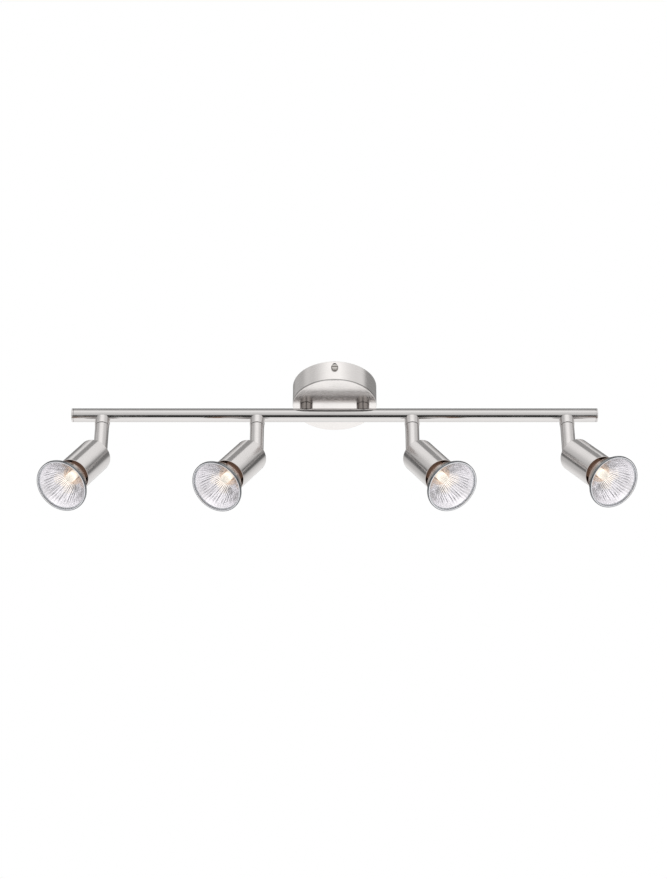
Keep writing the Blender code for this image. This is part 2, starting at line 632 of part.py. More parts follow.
def make_reflector_master(finishes):
    """The lamp's moulded glass: bowl, burner well and neck, with the two pins on its base."""
    outer = LAMP_RADIUS - RIM_WALL - CLEARANCE
    inner = outer - BOWL_WALL
    front = RIM_WALL + GLASS_THICKNESS + 2 * CLEARANCE
    inner_vertex = BOWL_DEPTH - BOWL_WALL
    neck_depth = depth_at(LAMP_NECK_RADIUS, outer, BOWL_DEPTH, front)
    well_depth = depth_at(WELL_RADIUS, inner, inner_vertex, front)
    outside = bowl_side(outer, BOWL_DEPTH, front, neck_depth, BOWL_RINGS)
    inside = bowl_side(inner, inner_vertex, front, well_depth, BOWL_RINGS)
    well_end = well_depth + WELL_DEPTH - LAMP_FRONT
    outline = [(0.0, -LAMP_BASE), (LAMP_NECK_RADIUS, -LAMP_BASE), *reversed(outside)]
    outline += [*inside, (WELL_RADIUS, well_end), (0.0, well_end)]
    glass = turned("lamp_reflector_1", outline, MEDIUM)
    combine(glass, [make_pin(side) for side in (-1, 1)], "UNION")
    return finished(glass, finishes["reflector_glass"])


def make_pin(side):
    """One headed pin of the lamp's base, rooted a little way in the glass."""
    root = -LAMP_BASE - OVERRUN
    head_low = -LAMP_BASE + PIN_LENGTH - PIN_HEAD_HEIGHT
    tip = -LAMP_BASE + PIN_LENGTH
    outline = [
        (0.0, root), (PIN_RADIUS, root), (PIN_RADIUS, head_low), (PIN_HEAD_RADIUS, head_low),
        (PIN_HEAD_RADIUS, tip), (0.0, tip),
    ]
    return moved(turned("pin", outline, SMALL), Matrix.Translation((side * PIN_SPACING / 2, 0, 0)))


def make_burner_master(finishes):
    """The burner capsule on the lamp's axis, its round tip towards the front."""
    outer = LAMP_RADIUS - RIM_WALL - CLEARANCE
    front = RIM_WALL + GLASS_THICKNESS + 2 * CLEARANCE
    well = depth_at(WELL_RADIUS, outer - BOWL_WALL, BOWL_DEPTH - BOWL_WALL, front)
    base = well + WELL_DEPTH - CLEARANCE - LAMP_FRONT
    tip = base - BURNER_LENGTH
    dome = arc((0.0, tip + BURNER_RADIUS), BURNER_RADIUS, -90, 0, 4)
    outline = [(0.0, tip), *dome[1:], (BURNER_RADIUS, base), (0.0, base)]
    return finished(turned("lamp_burner_1", outline, SMALL), finishes["burner_glass"])


def make_glass_master(finishes):
    """The clear disc that closes the lamp's front."""
    radius = LAMP_RADIUS - RIM_WALL - CLEARANCE
    front = -LAMP_FRONT + RIM_WALL + CLEARANCE
    return finished(rod("lamp_glass_1", radius, front, front + GLASS_THICKNESS, MEDIUM), finishes["clear_glass"])


def make_rim_master(finishes):
    """The thin metal ring that is rolled round the lamp's front edge."""
    inside = LAMP_RADIUS - RIM_WALL
    front = -LAMP_FRONT
    outline = [
        (LAMP_RADIUS - RIM_LIP, front), (LAMP_RADIUS, front), (LAMP_RADIUS, front + RIM_DEPTH),
        (inside, front + RIM_DEPTH), (inside, front + RIM_WALL), (LAMP_RADIUS - RIM_LIP, front + RIM_WALL),
    ]
    return finished(turned("lamp_rim_1", outline, MEDIUM), finishes["lamp_rim_metal"])


# ---------------------------------------------------------------- putting it together

def joint_empty(name, location, rotation, parent=None):
    """An empty on a joint's axis, which the pieces that move there hang on."""
    empty = bpy.data.objects.new(name, None)
    bpy.context.scene.collection.objects.link(empty)
    empty.location = location
    empty.rotation_euler = rotation
    empty.parent = parent
    return empty


def hang(master, index, parent):
    """Hang a master on the first head's joint, or a copy of it with its own number on another's."""
    if index == 0:
        master.parent = parent
        return master
    return copy_of(master, master.name[:-1] + str(index + 1), parent)


def make_heads(finishes):
    """All four heads: a collar on the bar, a stem that swivels under it and a head that tilts on that.

    Each stem has its screw's head on the side that is away from the front.
    """
    collar = make_collar_master(finishes)
    swivelling = [make_stem_master(finishes), make_pivot_master(finishes)]
    makers = (
        make_lug_master, make_cup_master, make_holder_master, make_reflector_master,
        make_burner_master, make_glass_master, make_rim_master,
    )
    tilting = [maker(finishes) for maker in makers]
    for index in range(HEAD_COUNT):
        number = str(index + 1)
        post = joint_empty("collar_place_" + number, (head_x(index), 0, 0), (0, 0, 0))
        hang(collar, index, post)
        turn = (0, 0, math.radians(HEAD_TURN[index]))
        swivel = joint_empty("swivel_axis_" + number, (head_x(index), 0, PIVOT_Z), turn)
        tilt = joint_empty("tilt_axis_" + number, (0, 0, 0), (-math.radians(HEAD_TILT[index]), 0, 0), swivel)
        away = math.pi if HEAD_TURN[index] < 0 else 0.0
        screw_side = joint_empty("screw_side_" + number, (0, 0, 0), (0, 0, away), swivel)
        for master in swivelling:
            hang(master, index, screw_side)
        for master in tilting:
            hang(master, index, tilt)


def main():
    """Build the whole fixture."""
    clear_scene()
    finishes = make_materials()
    make_bracket(finishes)
    make_canopy(finishes)
    make_canopy_screws(finishes)
    make_earth_screw(finishes)
    make_terminal_block(finishes)
    make_bar(finishes)
    make_bar_caps(finishes)
    make_bar_wiring(finishes)
    make_spacers(finishes)
    make_nipples(finishes)
    make_heads(finishes)
    bpy.context.view_layer.update()


main()
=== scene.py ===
"""Looks of a ceiling spot bar: satin nickel canopy, bar and four cup heads with lit reflector lamps.

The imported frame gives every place, and each class below holds the sizes of one sub-assembly, in metres.
Arms and heads are modelled once, upright on their tilt pivot, and copied to each joint.
"""
import json
import logging
import math
from dataclasses import dataclass
from enum import Enum
from typing import Protocol

import bpy
from mathutils import Matrix, Vector


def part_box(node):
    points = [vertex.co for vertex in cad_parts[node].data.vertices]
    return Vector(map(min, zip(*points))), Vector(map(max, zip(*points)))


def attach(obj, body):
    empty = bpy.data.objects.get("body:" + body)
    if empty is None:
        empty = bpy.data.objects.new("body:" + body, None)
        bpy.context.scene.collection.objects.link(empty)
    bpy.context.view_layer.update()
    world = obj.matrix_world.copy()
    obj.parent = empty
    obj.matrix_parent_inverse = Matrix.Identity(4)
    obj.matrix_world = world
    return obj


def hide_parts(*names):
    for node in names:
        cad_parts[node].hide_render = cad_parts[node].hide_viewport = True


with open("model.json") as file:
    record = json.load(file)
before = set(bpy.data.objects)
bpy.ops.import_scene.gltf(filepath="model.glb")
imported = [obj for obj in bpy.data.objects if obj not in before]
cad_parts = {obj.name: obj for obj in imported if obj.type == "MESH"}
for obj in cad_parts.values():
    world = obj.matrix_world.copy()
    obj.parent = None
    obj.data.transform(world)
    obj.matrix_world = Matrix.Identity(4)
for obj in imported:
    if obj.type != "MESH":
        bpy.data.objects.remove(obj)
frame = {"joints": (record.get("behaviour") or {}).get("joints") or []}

logging.basicConfig(level=logging.INFO, format="%(message)s")
LOG = logging.getLogger("spot_bar")

MM = 0.001
NOISE_SPAN = (0.3, 0.7)
FULL_LIGHT = 1.4
FIXTURE = "fixture"
HEADS = (1, 2, 3, 4)
UPRIGHT = Matrix.Identity(4)
LAID_ALONG_X = Matrix.Rotation(math.pi / 2, 4, "Y")
LAID_TO_FRONT = Matrix.Rotation(math.pi / 2, 4, "X")

Outline = list[tuple[float, float]]
Colour = tuple[float, float, float]
Levels = tuple[tuple[float, float], ...]
Piece = bpy.types.Object


class Sides(Enum):
    """How many sides a turned piece has."""

    HEXAGON = 6
    SMALL = 32
    ROUND = 64
    FLUTED = 96
    LARGE = 128


class Ends(Enum):
    """How the two ends of a turned outline are closed."""

    FILLED = "each end ring is filled"
    JOINED = "the last ring meets the first"


class Cut(Enum):
    """What a tool does to the piece it meets."""

    REMOVE = "DIFFERENCE"
    ADD = "UNION"
    KEEP = "INTERSECT"


class Finish(Protocol):
    """Anything that a piece can be made of."""

    def material(self, name: str, where: Matrix) -> bpy.types.Material:
        """Mix the finish for a piece in its place."""


@dataclass(frozen=True)
class Label:
    """What a repeated piece is called, rides on and stands for, and a slot name that is not applied."""

    name: str
    body: str
    slot: str
    node: str = ""


# ---------------------------------------------------------------- modelling

class Bench:
    """The modelling steps that every piece is made with."""

    @staticmethod
    def pick(piece: Piece) -> None:
        """Make one piece the active and only selected one."""
        bpy.ops.object.select_all(action="DESELECT")
        piece.select_set(True)
        bpy.context.view_layer.objects.active = piece

    @staticmethod
    def place(piece: Piece, where: Matrix) -> Piece:
        """Put a piece somewhere and apply that, so that its object stays at the origin.

        Args:
            piece: the piece to place.
            where: its place.

        Returns:
            The same piece.
        """
        Bench.pick(piece)
        piece.matrix_world = where
        bpy.ops.object.transform_apply(location=True, rotation=True, scale=True)
        return piece

    @staticmethod
    def turned(name: str, outline: Outline, sides: Sides, ends: Ends = Ends.FILLED) -> Piece:
        """Grow a round piece about Z from one ring, extruded and resized to each further outline point.

        Args:
            name: the piece's name.
            outline: (radius, height) points, none of them on the axis.
            sides: how many sides the rings have.
            ends: how the two ends are closed.

        Returns:
            The closed piece.
        """
        bpy.ops.object.select_all(action="DESELECT")
        radius, height = outline[0]
        bpy.ops.mesh.primitive_circle_add(vertices=sides.value, radius=radius, location=(0, 0, height))
        piece = bpy.context.object
        piece.name = name
        bpy.ops.object.transform_apply(location=True, rotation=True, scale=True)
        bpy.ops.object.mode_set(mode="EDIT")
        bpy.ops.mesh.select_all(action="SELECT")
        for (radius, height), (next_radius, next_height) in zip(outline, outline[1:]):
            rise = {"value": (0, 0, next_height - height)}
            bpy.ops.mesh.extrude_region_move(TRANSFORM_OT_translate=rise)
            grow = next_radius / radius
            bpy.ops.transform.resize(value=(grow, grow, 1), center_override=(0, 0, next_height))
        if ends is Ends.FILLED:
            bpy.ops.mesh.select_all(action="SELECT")
            bpy.ops.mesh.fill_holes(sides=0)
        else:
            bpy.ops.mesh.select_all(action="DESELECT")
            bpy.ops.mesh.select_non_manifold()
            bpy.ops.mesh.bridge_edge_loops()
        bpy.ops.mesh.select_all(action="SELECT")
        bpy.ops.mesh.normals_make_consistent(inside=False)
        bpy.ops.object.mode_set(mode="OBJECT")
        return piece

    @staticmethod
    def block(name: str, low: Vector, high: Vector) -> Piece:
        """Add a block from its lowest to its highest corner, as a start or a cutter.

        Args:
            name: the block's name.
            low: its lowest corner.
            high: its highest corner.

        Returns:
            The block.
        """
        bpy.ops.object.select_all(action="DESELECT")
        bpy.ops.mesh.primitive_cube_add(size=1, location=(low + high) / 2)
        piece = bpy.context.object
        piece.name = name
        piece.scale = high - low
        bpy.ops.object.transform_apply(location=True, rotation=True, scale=True)
        return piece

    @staticmethod
    def combine(piece: Piece, tool: Piece, cut: Cut = Cut.REMOVE) -> Piece:
        """Let a tool act on a piece, then remove the tool.

        Args:
            piece: the piece to change.
            tool: the closed shape that changes it.
            cut: what the tool does.

        Returns:
            The same piece.
        """
        step = piece.modifiers.new("combine", "BOOLEAN")
        step.operation = cut.value
        step.solver = "EXACT"
        step.object = tool
        Bench.pick(piece)
        bpy.ops.object.modifier_apply(modifier=step.name)
        bpy.data.objects.remove(tool, do_unlink=True)
        if not piece.data.polygons:
            raise RuntimeError(f"{piece.name} has no faces left after {cut.name}")
        return piece

    @staticmethod
    def drill(piece: Piece, radius: float, low: float, high: float, where: Matrix = UPRIGHT) -> Piece:
        """Drill a round hole along the Z of a place.

        Args:
            piece: the piece to drill.
            radius: the hole's radius.
            low: where the drill starts on its own Z.
            high: where it ends.
            where: the drill's place.

        Returns:
            The same piece.
        """
        tool = Bench.turned("drill", [(radius, low), (radius, high)], Sides.ROUND)
        return Bench.combine(piece, Bench.place(tool, where))

    @staticmethod
    def soften(piece: Piece, width: float, steps: int = 2, smooth_below: float = 40.0) -> Piece:
        """Round a piece's sharp edges and shade it smooth between them.

        Args:
            piece: the piece to finish.
            width: how wide the rounding is, or nothing to leave the edges.
            steps: how many faces the rounding has.
            smooth_below: the angle in degrees up to which neighbouring faces look smooth.

        Returns:
            The same piece.
        """
        Bench.pick(piece)
        if width > 0:
            edge = piece.modifiers.new("soften", "BEVEL")
            edge.width = width
            edge.segments = steps
            edge.limit_method = "ANGLE"
            edge.angle_limit = math.radians(35)
            bpy.ops.object.modifier_apply(modifier=edge.name)
        bpy.ops.object.shade_smooth_by_angle(angle=math.radians(smooth_below))
        even = piece.modifiers.new("even", "WEIGHTED_NORMAL")
        even.keep_sharp = True
        bpy.ops.object.modifier_apply(modifier=even.name)
        return piece

    @staticmethod
    def copy(piece: Piece, name: str, where: Matrix) -> Piece:
        """Copy a piece with a mesh of its own, and put the copy in its place.

        Args:
            piece: the master.
            name: the copy's name.
            where: where the copy goes.

        Returns:
            The copy.
        """
        twin = piece.copy()
        twin.data = piece.data.copy()
        twin.name = name
        bpy.context.scene.collection.objects.link(twin)
        return Bench.place(twin, where)

    @staticmethod
    def hand_out(master: Piece, label: Label, places: dict[str, Matrix], finish: Finish) -> None:
        """Copy a master to every place, settle each copy, and remove the master.

        Args:
            master: the piece to copy.
            label: what the copies are called, ride on and stand for.
            places: each copy's place, by the end of its name.
            finish: what the copies are made of.
        """
        for end, where in places.items():
            name = f"{label.name}_{end}"
            body = label.body if label.body == FIXTURE else f"{label.body}_{end}"
            nodes = [f"{label.node}_{end}"] if label.node else []
            piece = Bench.copy(master, name, where)
            Bench.settle(piece, body, label.slot, finish.material(f"{name}_finish", where), *nodes)
        bpy.data.objects.remove(master, do_unlink=True)

    @staticmethod
    def arc(radius: float, height: float, bend: float, start: float, end: float, steps: int = 6) -> Outline:
        """Points of a rounded corner in an outline.

        Args:
            radius: the arc centre's distance from the axis.
            height: the arc centre's height.
            bend: the arc's own radius.
            start: its first angle in degrees, from straight outwards.
            end: its last angle in degrees.
            steps: how many pieces it has.

        Returns:
            The arc's (radius, height) points.
        """
        angles = [math.radians(start + (end - start) * step / steps) for step in range(steps + 1)]
        return [(radius + bend * math.cos(angle), height + bend * math.sin(angle)) for angle in angles]

    @staticmethod
    def thread(radius: float, low: float, high: float, pitch: float, depth: float) -> Outline:
        """Points of a threaded stretch in an outline, from its low end up.

        Args:
            radius: the radius over the crests.
            low: where the thread starts.
            high: where it ends.
            pitch: the distance from crest to crest.
            depth: how deep the roots are.

        Returns:
            The thread's (radius, height) points.
        """
        turns = round((high - low) / pitch)
        pitch = (high - low) / turns
        points = [(radius - depth, low)]
        for turn in range(turns):
            points.append((radius, low + (turn + 0.5) * pitch))
            points.append((radius - depth, low + (turn + 1) * pitch))
        return points

    @staticmethod
    def settle(piece: Piece, body: str, slot: str, material: bpy.types.Material, *nodes: str) -> Piece:
        """Dress a finished piece, let it ride on its body and stand for its nodes.

        Args:
            piece: the finished piece.
            body: the body that it moves with.
            slot: the record's material slot; not used.
            material: what it is made of.
            nodes: the frame's nodes that it stands for.

        Returns:
            The same piece.
        """
        piece.data.materials.clear()
        piece.data.materials.append(material)
        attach(piece, body)
        if nodes:
            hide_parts(*nodes)
        LOG.info("%s rides on %s: %d faces", piece.name, body, len(piece.data.polygons))
        return piece


# ---------------------------------------------------------------- finishes

class Recipe:
    """One material's nodes, with a pattern space that is centred and turned on its piece."""

    def __init__(self, name: str, where: Matrix = UPRIGHT) -> None:
        """Start a material whose pattern space has its origin and axes at a place.

        Args:
            name: the material's name.
            where: the place of the pattern space.
        """
        self.material = bpy.data.materials.new(name)
        self.material.use_nodes = True
        self.tree = self.material.node_tree
        self.shader = self.tree.nodes["Principled BSDF"]
        inward = where.to_3x3().transposed()
        coordinates = self.tree.nodes.new("ShaderNodeTexCoord")
        settings = {
            "Vector": coordinates.outputs["Object"],
            "Location": -(inward @ where.to_translation()),
            "Rotation": inward.to_euler(),
        }
        self.point = self.add("ShaderNodeMapping", settings).outputs[0]

    def add(self, kind: str, inputs: dict, **settings) -> bpy.types.Node:
        """Add a node, with each input linked to another's output or set to a value.

        Args:
            kind: the node's type.
            inputs: its inputs by name or number.
            settings: its other properties.

        Returns:
            The node.
        """
        node = self.tree.nodes.new(kind)
        for key, value in settings.items():
            setattr(node, key, value)
        for key, value in inputs.items():
            if isinstance(value, bpy.types.NodeSocket):
                self.tree.links.new(value, node.inputs[key])
            else:
                node.inputs[key].default_value = value
        return node

    def maths(self, operation: str, *values) -> bpy.types.NodeSocket:
        """The result of a Math node on one or two values."""
        return self.add("ShaderNodeMath", dict(enumerate(values)), operation=operation).outputs[0]

    def parts(self) -> tuple:
        """The three coordinates of the pattern space."""
        return tuple(self.add("ShaderNodeSeparateXYZ", {0: self.point}).outputs)

    def from_axis(self) -> bpy.types.NodeSocket:
        """How far a point is from the pattern space's Z axis."""
        inputs = {0: self.point, 1: (1, 1, 0)}
        flat = self.add("ShaderNodeVectorMath", inputs, operation="MULTIPLY").outputs[0]
        return self.add("ShaderNodeVectorMath", {0: flat}, operation="LENGTH").outputs["Value"]

    def noise(self, scale: float, detail: float = 2.0, point: bpy.types.NodeSocket | None = None):
        """A noise pattern from 0 to 1, at so many cells per metre.

        Args:
            scale: the pattern's cells per metre.
            detail: its octaves.
            point: another point than the pattern space's.

        Returns:
            The pattern's socket.
        """
        inputs = {"Vector": point or self.point, "Scale": scale, "Detail": detail}
        return self.add("ShaderNodeTexNoise", inputs).outputs[0]

    def brushing(self, across: float, along: float) -> bpy.types.NodeSocket:
        """Fine streaks from 0 to 1 that run round the pattern space's Z axis.

        Args:
            across: streaks per metre across the brushing.
            along: their cells per metre along it.

        Returns:
            The pattern's socket.
        """
        x, y, z = self.parts()
        step = self.maths("MULTIPLY", self.maths("ADD", self.from_axis(), z), across)
        where = {0: self.maths("MULTIPLY", x, along), 1: self.maths("MULTIPLY", y, along), 2: step}
        return self.noise(1.0, 3.0, self.add("ShaderNodeCombineXYZ", where).outputs[0])

    def ramp(self, value, stops: list[tuple[float, Colour]]) -> bpy.types.NodeSocket:
        """Colours along a value from 0 to 1.

        Args:
            value: the socket that picks the colour.
            stops: (position, colour) pairs.

        Returns:
            The colour's socket.
        """
        node = self.add("ShaderNodeValToRGB", {0: value})
        elements = node.color_ramp.elements
        while len(elements) < len(stops):
            elements.new(0.5)
        for element, (position, colour) in zip(elements, stops):
            element.position = position
            element.color = (*colour, 1.0)
        return node.outputs[0]

    def remap(self, value, start: float, end: float, low: float = 0.0, high: float = 1.0):
        """A value brought from one range to another, and kept inside it."""
        ends = {"Value": value, "From Min": start, "From Max": end, "To Min": low, "To Max": high}
        return self.add("ShaderNodeMapRange", ends).outputs[0]

    def worn(self, pattern: bpy.types.NodeSocket, low: float, high: float) -> bpy.types.NodeSocket:
        """A noise pattern's usual span brought to another range, and kept inside it."""
        return self.remap(pattern, *NOISE_SPAN, low, high)

    def tinted(self, share: bpy.types.NodeSocket, colour: bpy.types.NodeSocket, other: Colour):
        """A colour that turns into another one by a share from 0 to 1."""
        inputs = {0: share, 6: colour, 7: (*other, 1.0)}
        return self.add("ShaderNodeMix", inputs, data_type="RGBA").outputs[2]

    def bump(self, height: bpy.types.NodeSocket, strength: float, depth: float) -> bpy.types.NodeSocket:
        """A normal that is roughened by a height pattern."""
        settings = {"Height": height, "Strength": strength, "Distance": depth}
        return self.add("ShaderNodeBump", settings).outputs[0]

    def finish(self, **sockets) -> bpy.types.Material:
        """Join the shader's sockets, with _ for each space in a name.

        Args:
            sockets: values or other nodes' outputs.

        Returns:
            The finished material.
        """
        for key, value in sockets.items():
            socket = self.shader.inputs[key.replace("_", " ")]
            if isinstance(value, bpy.types.NodeSocket):
                self.tree.links.new(value, socket)
            else:
                socket.default_value = value
        return self.material


@dataclass(frozen=True)
class BrushedMetal:
    """Satin metal with fine streaks, faint smudges, slow changes of tone and, if a line height is given, a
    painted dark shade band round it.
    """

    colour: Colour = (0.67, 0.65, 0.645)
    roughness: float = 0.20
    across: float = 5200.0
    along: float = 55.0
    tone: float = 0.035
    depth: float = 0.0000015
    smudge_cells: float = 70.0
    smudge_span: tuple[float, float] = (0.35, 0.7)
    smudge_wear: tuple[float, float] = (-0.03, 0.04)
    streak_wear: float = 0.05
    streak_bump: float = 0.5
    line: float = 0.0
    edge_shade_half: float = 0.8 * MM
    edge_shade_share: float = 0.85
    edge_shade_colour: Colour = (0.10, 0.10, 0.10)

    def material(self, name: str, where: Matrix = UPRIGHT) -> bpy.types.Material:
        """Mix the finish for a piece in its place.

        Args:
            name: the material's name.
            where: the piece's place, whose Z is the axis that it was brushed about.

        Returns:
            The material.
        """
        mix = Recipe(name, where)
        streaks = mix.brushing(self.across, self.along)
        smudges = mix.noise(self.smudge_cells, 3.0)
        dark = tuple(part * (1 - self.tone) for part in self.colour)
        light = tuple(min(part * (1 + self.tone), 1.0) for part in self.colour)
        colour = mix.ramp(streaks, list(zip(NOISE_SPAN, (dark, light))))
        # painted shade: a dark band round the height `line`, standing in for the shade along a drawn edge
        if self.line:
            _, _, z = mix.parts()
            off = mix.maths("ABSOLUTE", mix.maths("SUBTRACT", z, self.line))
            share = mix.remap(off, self.edge_shade_half, 0.0, 0.0, self.edge_shade_share)
            colour = mix.tinted(share, colour, self.edge_shade_colour)
        worn = mix.remap(smudges, *self.smudge_span, *self.smudge_wear)
        lined = mix.worn(streaks, -self.streak_wear, self.streak_wear)
        roughness = mix.maths("ADD", mix.maths("ADD", worn, lined), self.roughness)
        normal = mix.bump(streaks, self.streak_bump, self.depth)
        return mix.finish(Base_Color=colour, Metallic=1.0, Roughness=roughness, Normal=normal)


@dataclass(frozen=True)
class PlainMetal:
    """Bare or plated metal with a fine mottle, a few scratches and dulled patches."""

    colour: Colour
    roughness: float
    mottle: float = 0.12
    cells: float = 900.0
    patch_size: float = 8.0
    duller: tuple[float, float] = (0.75, 1.35)
    grain_bump: float = 0.25
    grain_depth: float = 0.02 * MM

    def material(self, name: str, where: Matrix = UPRIGHT) -> bpy.types.Material:
        """Mix the finish for a piece in its place.

        Args:
            name: the material's name.
            where: the piece's place.

        Returns:
            The material.
        """
        mix = Recipe(name, where)
        grain = mix.noise(self.cells, 4.0)
        patches = mix.noise(self.cells / self.patch_size, 2.0)
        dark = tuple(part * (1 - self.mottle) for part in self.colour)
        colour = mix.ramp(grain, [(0.35, dark), (0.65, self.colour)])
        roughness = mix.worn(patches, *(self.roughness * factor for factor in self.duller))
        normal = mix.bump(grain, self.grain_bump, self.grain_depth)
        return mix.finish(Base_Color=colour, Metallic=1.0, Roughness=roughness, Normal=normal)


@dataclass(frozen=True)
class Moulded:
    """A moulded or fired surface: plastic, wire sheath or ceramic, with its own grain."""

    colour: Colour
    roughness: float
    cells: float = 2500.0
    depth: float = 0.00003
    shade: float = 0.08
    stain_size: float = 20.0
    stain_span: tuple[float, float] = (0.3, 0.6)
    glossier: float = 0.06
    duller: float = 0.08
    grain_bump: float = 0.4

    def material(self, name: str, where: Matrix = UPRIGHT) -> bpy.types.Material:
        """Mix the finish for a piece in its place.

        Args:
            name: the material's name.
            where: the piece's place.

        Returns:
            The material.
        """
        mix = Recipe(name, where)
        grain = mix.noise(self.cells, 3.0)
        stains = mix.noise(self.cells / self.stain_size, 2.0)
        dark = tuple(part * (1 - self.shade) for part in self.colour)
        colour = mix.ramp(stains, list(zip(self.stain_span, (dark, self.colour))))
        roughness = mix.worn(grain, self.roughness - self.glossier, self.roughness + self.duller)
        normal = mix.bump(grain, self.grain_bump, self.depth)
        return mix.finish(Base_Color=colour, Roughness=roughness, Normal=normal)


@dataclass(frozen=True)
class MirrorCoat:
    """A lit bowl's silvered inside, with painted shadow lines between its flutes, tan round the burner and
    a pale lip painted as a bright reflection.
    """

    colour: Colour = (0.955, 0.94, 0.96)
    shadow: Colour = (0.12, 0.12, 0.14)
    tan: Colour = (0.62, 0.50, 0.42)
    lip: float = 22.6 * MM
    # pale, unmetallic lip: a painted reflection of the bright light on the front glass
    lip_colour: Colour = (0.80, 0.82, 0.88)
    flutes: int = 48
    lit: Colour = (1.0, 0.975, 0.97)
    light: float = 0.10
    well: float = 10.0 * MM
    plain_from: float = 19.4 * MM
    line_span: tuple[float, float] = (0.45, 0.92)
    fleck_span: tuple[float, float] = (0.40, 0.56)
    fleck_cells: tuple[float, float] = (7.0, 160.0)
    faintest: float = 0.15
    strongest: float = 1.3
    deep_strength: float = 0.6
    deep_fade: float = 4.0 * MM
    plain_fade: float = 1.6 * MM
    lip_fade: float = 0.2 * MM
    well_fade: float = 1.2 * MM
    haze: tuple[float, float] = (0.06, 0.16)

    def material(self, name: str, where: Matrix) -> bpy.types.Material:
        """Mix the finish for the bowl of one head.

        Args:
            name: the material's name.
            where: the head's place, with the lamp on its Z axis.

        Returns:
            The material.
        """
        mix = Recipe(name, where)
        away = mix.from_axis()
        x, y, _ = mix.parts()
        around = mix.maths("ARCTAN2", y, x)
        wave = mix.maths("COSINE", mix.maths("MULTIPLY", around, float(self.flutes)))
        turn_cells, away_cells = self.fleck_cells
        spread = {0: mix.maths("MULTIPLY", around, turn_cells), 1: mix.maths("MULTIPLY", away, away_cells)}
        fleck = mix.noise(1.0, 2.0, mix.add("ShaderNodeCombineXYZ", spread).outputs[0])
        line = mix.remap(wave, *self.line_span)
        deep = mix.remap(away, self.well + self.deep_fade, self.well, 0.0, self.deep_strength)
        broken = mix.remap(fleck, *self.fleck_span, self.faintest, 1.0)
        strength = mix.maths("MINIMUM", mix.maths("ADD", broken, deep), self.strongest)
        ends = mix.remap(away, self.plain_from + self.plain_fade, self.plain_from)
        shade = mix.maths("MULTIPLY", mix.maths("MULTIPLY", line, strength), ends)
        silver = mix.ramp(shade, [(0.0, self.colour), (1.0, self.shadow)])
        # painted reflection: the lip turns pale and loses its metal
        lip_reflection_share = mix.remap(away, self.lip - self.lip_fade, self.lip)
        in_well = mix.remap(away, self.well, self.well - self.well_fade)
        colour = mix.tinted(lip_reflection_share, mix.tinted(in_well, silver, self.tan), self.lip_colour)
        metal = mix.maths("SUBTRACT", 1.0, lip_reflection_share)
        bright = mix.maths("MULTIPLY", mix.maths("SUBTRACT", 1.0, shade), self.light)
        return mix.finish(
            Base_Color=colour,
            Metallic=metal,
            Roughness=mix.worn(fleck, *self.haze),
            Emission_Color=(*self.lit, 1.0),
            Emission_Strength=bright,
        )


@dataclass(frozen=True)
class RolledRim:
    """Thin rolled metal, pale on the lip, with a painted dark shadow where it turns over the outer edge and
    painted shade on its side.
    """

    lip_colour: Colour = (0.90, 0.91, 0.94)
    edge_shadow_colour: Colour = (0.055, 0.06, 0.07)
    side_shade_colour: Colour = (0.24, 0.25, 0.26)
    lip: float = 24.0 * MM
    side: float = 25.0 * MM
    bands: tuple[float, ...] = (0.30, 0.45, 0.85, 0.94)
    scuff_cells: float = 1200.0
    scuff_reach: float = 0.03
    haze: tuple[float, float] = (0.14, 0.30)

    def material(self, name: str, where: Matrix) -> bpy.types.Material:
        """Mix the finish for the rim of one head.

        Args:
            name: the material's name.
            where: the head's place, with the lamp on its Z axis.

        Returns:
            The material.
        """
        mix = Recipe(name, where)
        scuffs = mix.noise(self.scuff_cells, 3.0)
        # painted shadow: the colour darkens outwards across the roll, with real scuffs mixed into the band
        # edges
        outwards = mix.remap(mix.from_axis(), self.lip, self.side)
        worn = mix.maths("ADD", outwards, mix.worn(scuffs, -self.scuff_reach, self.scuff_reach))
        colours = (self.lip_colour, self.edge_shadow_colour, self.edge_shadow_colour, self.side_shade_colour)
        colour = mix.ramp(worn, list(zip(self.bands, colours)))
        roughness = mix.worn(scuffs, *self.haze)
        return mix.finish(Base_Color=colour, Metallic=1.0, Roughness=roughness)


@dataclass(frozen=True)
class DarkGlass:
    """A bowl's thick moulded outside, grey-green at the rim and glossy brown towards the neck."""

    rim_colour: Colour = (0.30, 0.31, 0.27)
    deep_colour: Colour = (0.30, 0.19, 0.145)
    through: Colour = (1.0, 0.60, 0.42)
    light: float = 0.07
    rim: float = 77.0 * MM
    deep: float = 70.0 * MM
    speckle_cells: float = 1400.0
    speckle_reach: float = 0.16
    middle_share: float = 2.6
    metallic: float = 0.3
    coat: float = 0.6
    coat_roughness: float = 0.08
    haze: tuple[float, float] = (0.10, 0.26)
    bands: tuple[float, ...] = (0.1, 0.45, 0.9)
    speckle_bump: float = 0.12
    speckle_depth: float = 0.04 * MM

    def material(self, name: str, where: Matrix) -> bpy.types.Material:
        """Mix the finish for the bowl of one head.

        Args:
            name: the material's name.
            where: the head's place.

        Returns:
            The material.
        """
        mix = Recipe(name, where)
        _, _, z = mix.parts()
        depth = mix.remap(z, -self.rim, -self.deep)
        speckle = mix.noise(self.speckle_cells, 3.0)
        blended = mix.maths("ADD", depth, mix.worn(speckle, -self.speckle_reach, self.speckle_reach))
        both = zip(self.rim_colour, self.deep_colour)
        middle = tuple((one + two) / self.middle_share for one, two in both)
        colour = mix.ramp(blended, list(zip(self.bands, (self.rim_colour, middle, self.deep_colour))))
        roughness = mix.worn(speckle, *self.haze)
        return mix.finish(
            Base_Color=colour,
            Roughness=roughness,
            Metallic=self.metallic,
            Coat_Weight=self.coat,
            Coat_Roughness=self.coat_roughness,
            Emission_Color=(*self.through, 1.0),
            Emission_Strength=mix.maths("MULTIPLY", depth, self.light),
            Normal=mix.bump(speckle, self.speckle_bump, self.speckle_depth),
        )


